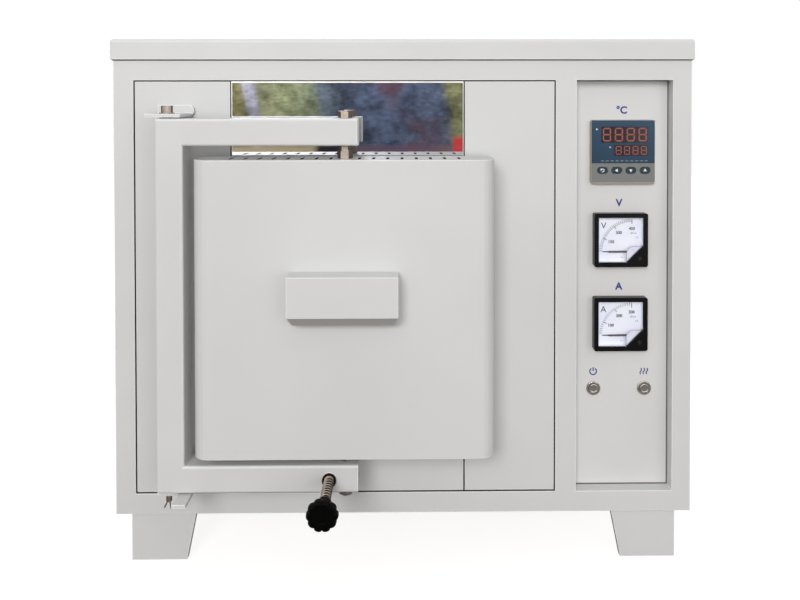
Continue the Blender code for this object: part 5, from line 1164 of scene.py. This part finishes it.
# %% Smooth copy of the spring
SMOOTH_BELOW = math.radians(50)
packed = nodes["lock_spring"]
spring = packed.copy()
spring.data = packed.data.copy()
bpy.context.scene.collection.objects.link(spring)
spring.parent = None
spring.matrix_world = packed.matrix_world.copy()
for key in list(spring.keys()):
    del spring[key]
clean(settle(spring, "lock_spring_turns"))
only(spring)
bpy.ops.object.shade_smooth_by_angle(angle=SMOOTH_BELOW)
dress(spring, wire, "yoke")
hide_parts("lock_spring")
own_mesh(spring)

# %% [markdown]
# ## Painted shade in the door's vent slots
# The slots along the door's top and bottom let the warm air between shell and plug out. A black strip
# under each slot is painted shade for the dark inside of the door: seen at a grazing angle it makes each
# slot a black dash.

# %% Painted shade in the vent slots
slot_shade, tree, shader = finish("black_painted_slot_shade", "#0B0A0A", 0.8, Specular_IOR_Level=0.1)
grain(tree, shader, 0.8, 0.1)
SLOTS_A_SIDE, SLOT_PITCH = 8, 20 * MM
SLOT_SHADE_WIDTH, SLOT_SHADE_LENGTH, SLOT_SHADE_THICKNESS = 4.2 * MM, 35.2 * MM, 0.3 * MM
SLOT_SHADE_SUNK, SLOT_SHADE_AHEAD = 0.25 * MM, 27.4 * MM
low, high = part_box("door_shell")
frame_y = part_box("front_frame")[0].y
x = span(face_middle(low, high)[0], SLOT_SHADE_WIDTH)
y = (frame_y - SLOT_SHADE_AHEAD - SLOT_SHADE_LENGTH, frame_y - SLOT_SHADE_AHEAD)
steps = [number for number in range(-SLOTS_A_SIDE, SLOTS_A_SIDE + 1) if number]
strips = []
# Painted shade: a black strip under each slot stands for the dark inside of the door.
for foot in (high.z - SLOT_SHADE_SUNK - SLOT_SHADE_THICKNESS, low.z + SLOT_SHADE_SUNK):
    strip = plate("strip", x, y, (foot, foot + SLOT_SHADE_THICKNESS))
    strips += copies(strip, [(number * SLOT_PITCH, 0, 0) for number in steps])
dress(fuse("door_vent_slot_shade", strips), slot_shade, "door")

# %% [markdown]
# ## Screws in the rear panel
# The rear sheet is held by pan-head screws round its edge. One head is shaped from a cylinder: the front
# edge is bevelled to a dome and a cross recess is cut with two crossed boxes. Then it is copied to each
# place.

# %% Rear panel screws
SCREW_RADIUS, SCREW_HEIGHT, SCREW_DOME = 4.0 * MM, 2.4 * MM, 1.4 * MM
CROSS_SLOT = (4.4 * MM, 1.8 * MM, 0.9 * MM)
SHEET = 1.8 * MM
sheet_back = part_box("side_panel_left")[1].y + SHEET
y = (sheet_back, sheet_back + SCREW_HEIGHT)
screw = cylinder("rear_screws", SCREW_RADIUS, y, (0, 0), 24)
round_edges(screw, at_depth(y[1]), SCREW_DOME, 4)
for turn in (0, 90):
    cut_slot(screw, CROSS_SLOT, turn, (0, y[1], 0))
EDGE_INSET = 12 * MM
SCREW_ROWS, SCREW_COLUMNS = 4, 5
panel_low, panel_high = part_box("rear_panel")
x_first, x_last = widen((panel_low.x, panel_high.x), -EDGE_INSET)
z_first, z_last = widen((panel_low.z, panel_high.z), -EDGE_INSET)
places = []
for column in range(SCREW_COLUMNS):
    x = x_first + (x_last - x_first) * column / (SCREW_COLUMNS - 1)
    places += [(x, 0, z_first), (x, 0, z_last)]
for row in range(1, SCREW_ROWS - 1):
    z = z_first + (z_last - z_first) * row / (SCREW_ROWS - 1)
    places += [(x_first, 0, z), (x_last, 0, z)]
dress(fuse("rear_screws", copies(screw, places)), machined, "cabinet")

# %% [markdown]
# ## The camera
# The photograph was taken from straight ahead, about a metre from the cabinet and a little above the door.
# Its lines draw together slightly towards the bottom and the right, so the camera is tilted, turned and
# rolled by fractions of a degree. The lens is given by how many pixels a metre spans at one metre, and the
# frame is shifted down to hold the feet, as a view camera's back would be.

# %% Camera
IMAGE_WIDTH, IMAGE_HEIGHT = 800, 600
FOCAL_PIXELS = 712.35
CENTRE_ROW, CENTRE_COLUMN = 111.3, 411.4
TILT, ROLL, TURN = 0.86, 0.05, 0.61
CAMERA_AHEAD = 1.047
CAMERA_HEIGHT = 0.680
SENSOR = 36
CLIP_START = 0.01
frame_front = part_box("front_frame")[0].y
camera_data = bpy.data.cameras.new("camera")
camera = bpy.data.objects.new("camera", camera_data)
bpy.context.scene.collection.objects.link(camera)
camera.location = (0, frame_front - CAMERA_AHEAD, CAMERA_HEIGHT)
camera.rotation_euler = (math.radians(90 - TILT), math.radians(ROLL), math.radians(-TURN))
camera_data.sensor_width = SENSOR
camera_data.lens = FOCAL_PIXELS / IMAGE_WIDTH * SENSOR
camera_data.shift_x = (IMAGE_WIDTH / 2 - CENTRE_COLUMN) / IMAGE_WIDTH
camera_data.shift_y = (CENTRE_ROW - IMAGE_HEIGHT / 2) / IMAGE_WIDTH
camera_data.clip_start = CLIP_START
bpy.context.scene.camera = camera
print(f"lens {camera_data.lens:.1f} mm")

# %% [markdown]
# ## Floor and light
# The floor is plain and pale, and shows as white to the camera except in the object's shadow. Its own glow
# is seen by the camera alone, so it lights nothing.

# %% Floor
FLOOR_SIZE = 14
FLOOR_GLOW = 0.86
bpy.ops.object.select_all(action="DESELECT")
bpy.ops.mesh.primitive_plane_add(size=FLOOR_SIZE)
floor = bpy.context.object
floor.name = "floor"
pale_floor, tree, shader = finish("pale_floor", "#8F8A84", 0.9)
rays = add_node(tree, "ShaderNodeLightPath")
inputs = {0: rays.outputs["Is Camera Ray"], 1: FLOOR_GLOW}
seen = add_node(tree, "ShaderNodeMath", inputs, operation="MULTIPLY")
glow = add_node(tree, "ShaderNodeEmission", {"Strength": seen.outputs[0]})
both = add_node(tree, "ShaderNodeAddShader", {0: shader.outputs[0], 1: glow.outputs[0]})
tree.links.new(both.outputs[0], tree.nodes["Material Output"].inputs["Surface"])
floor.data.materials.append(pale_floor)
print("floor", tuple(round(side, 1) for side in floor.dimensions))

# %% [markdown]
# The sky is split by the kind of ray: the camera and every reflection see white, so that metal and glass
# reflect the same background that the picture has, and only diffuse light gets the grey level, so that a
# bright background doesn't wash out the colours.

# %% Sky
SKY_LEVEL = 0.42
WHITE = linear("#FFFFFF")
world = bpy.data.worlds.new("studio")
bpy.context.scene.world = world
world.use_nodes = True
tree = world.node_tree
rays = add_node(tree, "ShaderNodeLightPath")
direct = rays.outputs["Is Camera Ray"]
for kind in ("Is Glossy Ray", "Is Transmission Ray"):
    inputs = {0: direct, 1: rays.outputs[kind]}
    direct = add_node(tree, "ShaderNodeMath", inputs, operation="MAXIMUM").outputs[0]
white = add_node(tree, "ShaderNodeBackground", {"Color": WHITE, "Strength": 1.0})
grey = add_node(tree, "ShaderNodeBackground", {"Color": WHITE, "Strength": SKY_LEVEL})
mixed = add_node(tree, "ShaderNodeMixShader", {0: direct, 1: grey.outputs[0], 2: white.outputs[0]})
tree.links.new(mixed.outputs[0], tree.nodes["World Output"].inputs["Surface"])
print("sky level", SKY_LEVEL)

# %% [markdown]
# The lamps are large squares, because a small one would draw hard shadows that the photograph hasn't. The
# key stands up and to the left, as the shadows in the photograph say, and weaker ones fill from the right,
# from above and along the floor. Two more stand low behind the object, so that its sides and rear show
# their colour as the front does. A row of the table holds a name, a place, where it looks, its side in
# metres, its power in watts and its colour.

# %% Lamps
MIDDLE = (0, 0, 0.4)
LOW = (0, 0, 0.15)
LAMPS = (
    ("key", (-1.4, -5.6, 2.9), MIDDLE, 2.0, 178, "#FFFFFF"),
    ("fill", (3.2, -5.0, 1.1), MIDDLE, 2.4, 46, "#FDFDFF"),
    ("top", (0, -1.6, 2.6), MIDDLE, 1.6, 3, "#FFFFFF"),
    ("low", (0.5, -4.6, 0.15), LOW, 1.2, 24, "#FFFFFF"),
    ("rear left", (-4.2, 3.8, 1.3), MIDDLE, 2.0, 150, "#FFFFFF"),
    ("rear right", (4.2, 3.8, 1.3), MIDDLE, 2.0, 150, "#FFFFFF"),
)
for name, place, target, side, watts, colour in LAMPS:
    data = bpy.data.lights.new(name, "AREA")
    data.size = side
    data.energy = watts
    data.color = linear(colour)[:3]
    lamp = bpy.data.objects.new(name, data)
    bpy.context.scene.collection.objects.link(lamp)
    lamp.location = place
    lamp.rotation_euler = (Vector(target) - Vector(place)).to_track_quat("-Z", "Y").to_euler()
    print(name, "lamp", watts, "W")

# %% [markdown]
# ## What the mirror sees
# A mirror is only as good as what it reflects, and in an empty studio it would be a white sheet. A card
# stands far behind the camera, seen by reflections alone. It is part of the stage and not of the object.

# %% Reflection card
CARD_AHEAD = 4.0
CARD_HEIGHT = 0.582
CARD_SHIFT = -0.35
CARD_SIZE = (3.4, 1.5, 1)
bpy.ops.object.select_all(action="DESELECT")
place = (CARD_SHIFT, frame_front - CARD_AHEAD, CARD_HEIGHT)
bpy.ops.mesh.primitive_plane_add(size=1, location=place, rotation=FACING_FRONT)
card = bpy.context.object
card.scale = CARD_SIZE
settle(card, "reflection_card")
for kind in ("camera", "diffuse", "shadow", "transmission"):
    setattr(card, f"visible_{kind}", False)
print("card at", round(card.data.vertices[0].co.y, 2))

# %% [markdown]
# The card shows soft greens at one side, a pale leaning upright, and the dusky blue of a shaded wall in the
# middle. One ramp across the card holds these colours. Its lines lean because the height is added to the
# place across, and they wander because a little noise is added too. Scales count cells in a metre.

# %% Colours across the card
LEAN = 0.16
WANDER = 0.08
LEAVES_A_METRE = 9.0
GARDEN_STOPS = (
    (0.000, "#6F6C45"),
    (0.068, "#868160"),
    (0.076, "#ADADB8"),
    (0.112, "#A6A6B4"),
    (0.135, "#8E9070"),
    (0.262, "#868C6A"),
    (0.355, "#828970"),
    (0.392, "#5C666E"),
    (0.495, "#4A5262"),
    (0.642, "#4F5A70"),
    (0.896, "#4C5466"),
    (0.930, "#6F7050"),
    (0.990, "#7A7C5C"),
)
garden = bpy.data.materials.new("soft_garden")
garden.use_nodes = True
tree = garden.node_tree
tree.nodes.clear()
place = add_node(tree, "ShaderNodeTexCoord").outputs["Object"]
split = add_node(tree, "ShaderNodeSeparateXYZ", {"Vector": place})
inputs = {0: split.outputs["Z"], 1: LEAN, 2: split.outputs["X"]}
leaning = add_node(tree, "ShaderNodeMath", inputs, operation="MULTIPLY_ADD")
inputs = {"Vector": place, "Scale": LEAVES_A_METRE, "Detail": 9.0, "Roughness": 0.72}
leaves = add_node(tree, "ShaderNodeTexNoise", inputs)
inputs = {0: leaves.outputs["Fac"], 1: WANDER, 2: leaning.outputs[0]}
wander = add_node(tree, "ShaderNodeMath", inputs, operation="MULTIPLY_ADD")
inputs = {"Value": wander.outputs[0], "From Min": -1.10, "From Max": 0.60}
across = add_node(tree, "ShaderNodeMapRange", inputs)
inputs = {"Fac": across.outputs["Result"]}
view = add_node(tree, "ShaderNodeValToRGB", inputs, stops=GARDEN_STOPS).outputs["Color"]
print(len(GARDEN_STOPS), "colours across the card")

# %% [markdown]
# Three greys are multiplied over the colours: the light and shade among the leaves, a fine weave of short
# level streaks, which the brushed look of the mirror asks for, and a slow fade towards the ground.

# %% Light and shade on the card
WEAVE_A_METRE = 70.0
WEAVE_STRETCH = (0.3, 1, 1)
mapping = add_node(tree, "ShaderNodeMapping", {"Vector": place, "Scale": WEAVE_STRETCH})
inputs = {"Vector": mapping.outputs[0], "Scale": WEAVE_A_METRE, "Detail": 3.0}
weave = add_node(tree, "ShaderNodeTexNoise", inputs)
for value, low_value, high_value, low_grey, high_grey in (
    (leaves.outputs["Fac"], 0.32, 0.70, 0.30, 1.75),
    (weave.outputs["Fac"], 0.35, 0.65, 0.72, 1.32),
    (split.outputs["Z"], 0.28, 0.76, 0.64, 1.08),
):
    inputs = {"Value": value, "From Min": low_value, "From Max": high_value}
    inputs.update({"To Min": low_grey, "To Max": high_grey})
    layer = add_node(tree, "ShaderNodeMapRange", inputs)
    inputs = {0: 1.0, 6: view, 7: layer.outputs["Result"]}
    view = add_node(tree, "ShaderNodeMix", inputs, data_type="RGBA", blend_type="MULTIPLY").outputs[2]
print("three greys over the card")

# %% [markdown]
# The lowest part of the mirror shows the ground: pale earth at the left, then deep shade, then violet
# brown. It is one more ramp across the card, blended in below a given height.

# %% Ground strip along the foot of the card
GROUND_TOP, GROUND_EDGE = 0.345, 0.03
GROUND_STOPS = (
    (0.00, "#A89A7C"),
    (0.33, "#9C8E72"),
    (0.36, "#232024"),
    (0.46, "#252328"),
    (0.50, "#5B4A55"),
    (0.80, "#54465A"),
    (0.93, "#6A5A58"),
)
inputs = {"Value": split.outputs["X"], "From Min": -1.21, "From Max": 0.49}
along = add_node(tree, "ShaderNodeMapRange", inputs)
strip = add_node(tree, "ShaderNodeValToRGB", {"Fac": along.outputs["Result"]}, stops=GROUND_STOPS)
inputs = {"Value": split.outputs["Z"], "From Min": GROUND_TOP + GROUND_EDGE, "From Max": GROUND_TOP}
under = add_node(tree, "ShaderNodeMapRange", inputs)
inputs = {0: under.outputs["Result"], 6: view, 7: strip.outputs["Color"]}
view = add_node(tree, "ShaderNodeMix", inputs, data_type="RGBA").outputs[2]
print("ground up to", GROUND_TOP, "m")

# %% [markdown]
# Warm clouds of violet brown break up the blue, as brickwork in shade does, and one small red patch stands
# at the lower right. Each is kept within limits: for each limit a map range gives 1 inside and 0 outside,
# with a soft edge, and these are multiplied together.

# %% Warm tints and a red spot on the card
CLOUDS_A_METRE = 2.6
x, z = split.outputs["X"], split.outputs["Z"]
TINTS = (
    ("#684850", ((x, -0.50, -0.35), (x, 0.35, 0.25))),
    ("#B83A3C", ((x, 0.34, 0.36), (x, 0.44, 0.42), (z, 0.43, 0.41))),
)
clouds = add_node(tree, "ShaderNodeTexNoise", {"Vector": place, "Scale": CLOUDS_A_METRE, "Detail": 4.0})
inputs = {"Value": clouds.outputs["Fac"], "From Min": 0.49, "From Max": 0.62, "To Max": 0.70}
amounts = (add_node(tree, "ShaderNodeMapRange", inputs).outputs["Result"], 1.0)
for (tint, limits), amount in zip(TINTS, amounts):
    for socket, outside, inside in limits:
        inputs = {"Value": socket, "From Min": outside, "From Max": inside}
        side = add_node(tree, "ShaderNodeMapRange", inputs)
        inputs = {0: amount, 1: side.outputs["Result"]}
        amount = add_node(tree, "ShaderNodeMath", inputs, operation="MULTIPLY").outputs[0]
    inputs = {0: amount, 6: view, 7: linear(tint)}
    view = add_node(tree, "ShaderNodeMix", inputs, data_type="RGBA").outputs[2]
print(len(TINTS), "tints on the card")

# %% [markdown]
# The card glows by itself, so that the lamps don't change what the mirror shows.

# %% Glow of the card
CARD_GAIN = 1.5
glow = add_node(tree, "ShaderNodeEmission", {"Color": view, "Strength": CARD_GAIN})
add_node(tree, "ShaderNodeOutputMaterial", {"Surface": glow.outputs[0]})
card.data.materials.append(garden)
print("card dressed with", garden.name)

# %% [markdown]
# ## View transform
# The view transform is set to Standard so that a colour renders about as it is written.

# %% Finish
bpy.context.scene.view_settings.view_transform = "Standard"
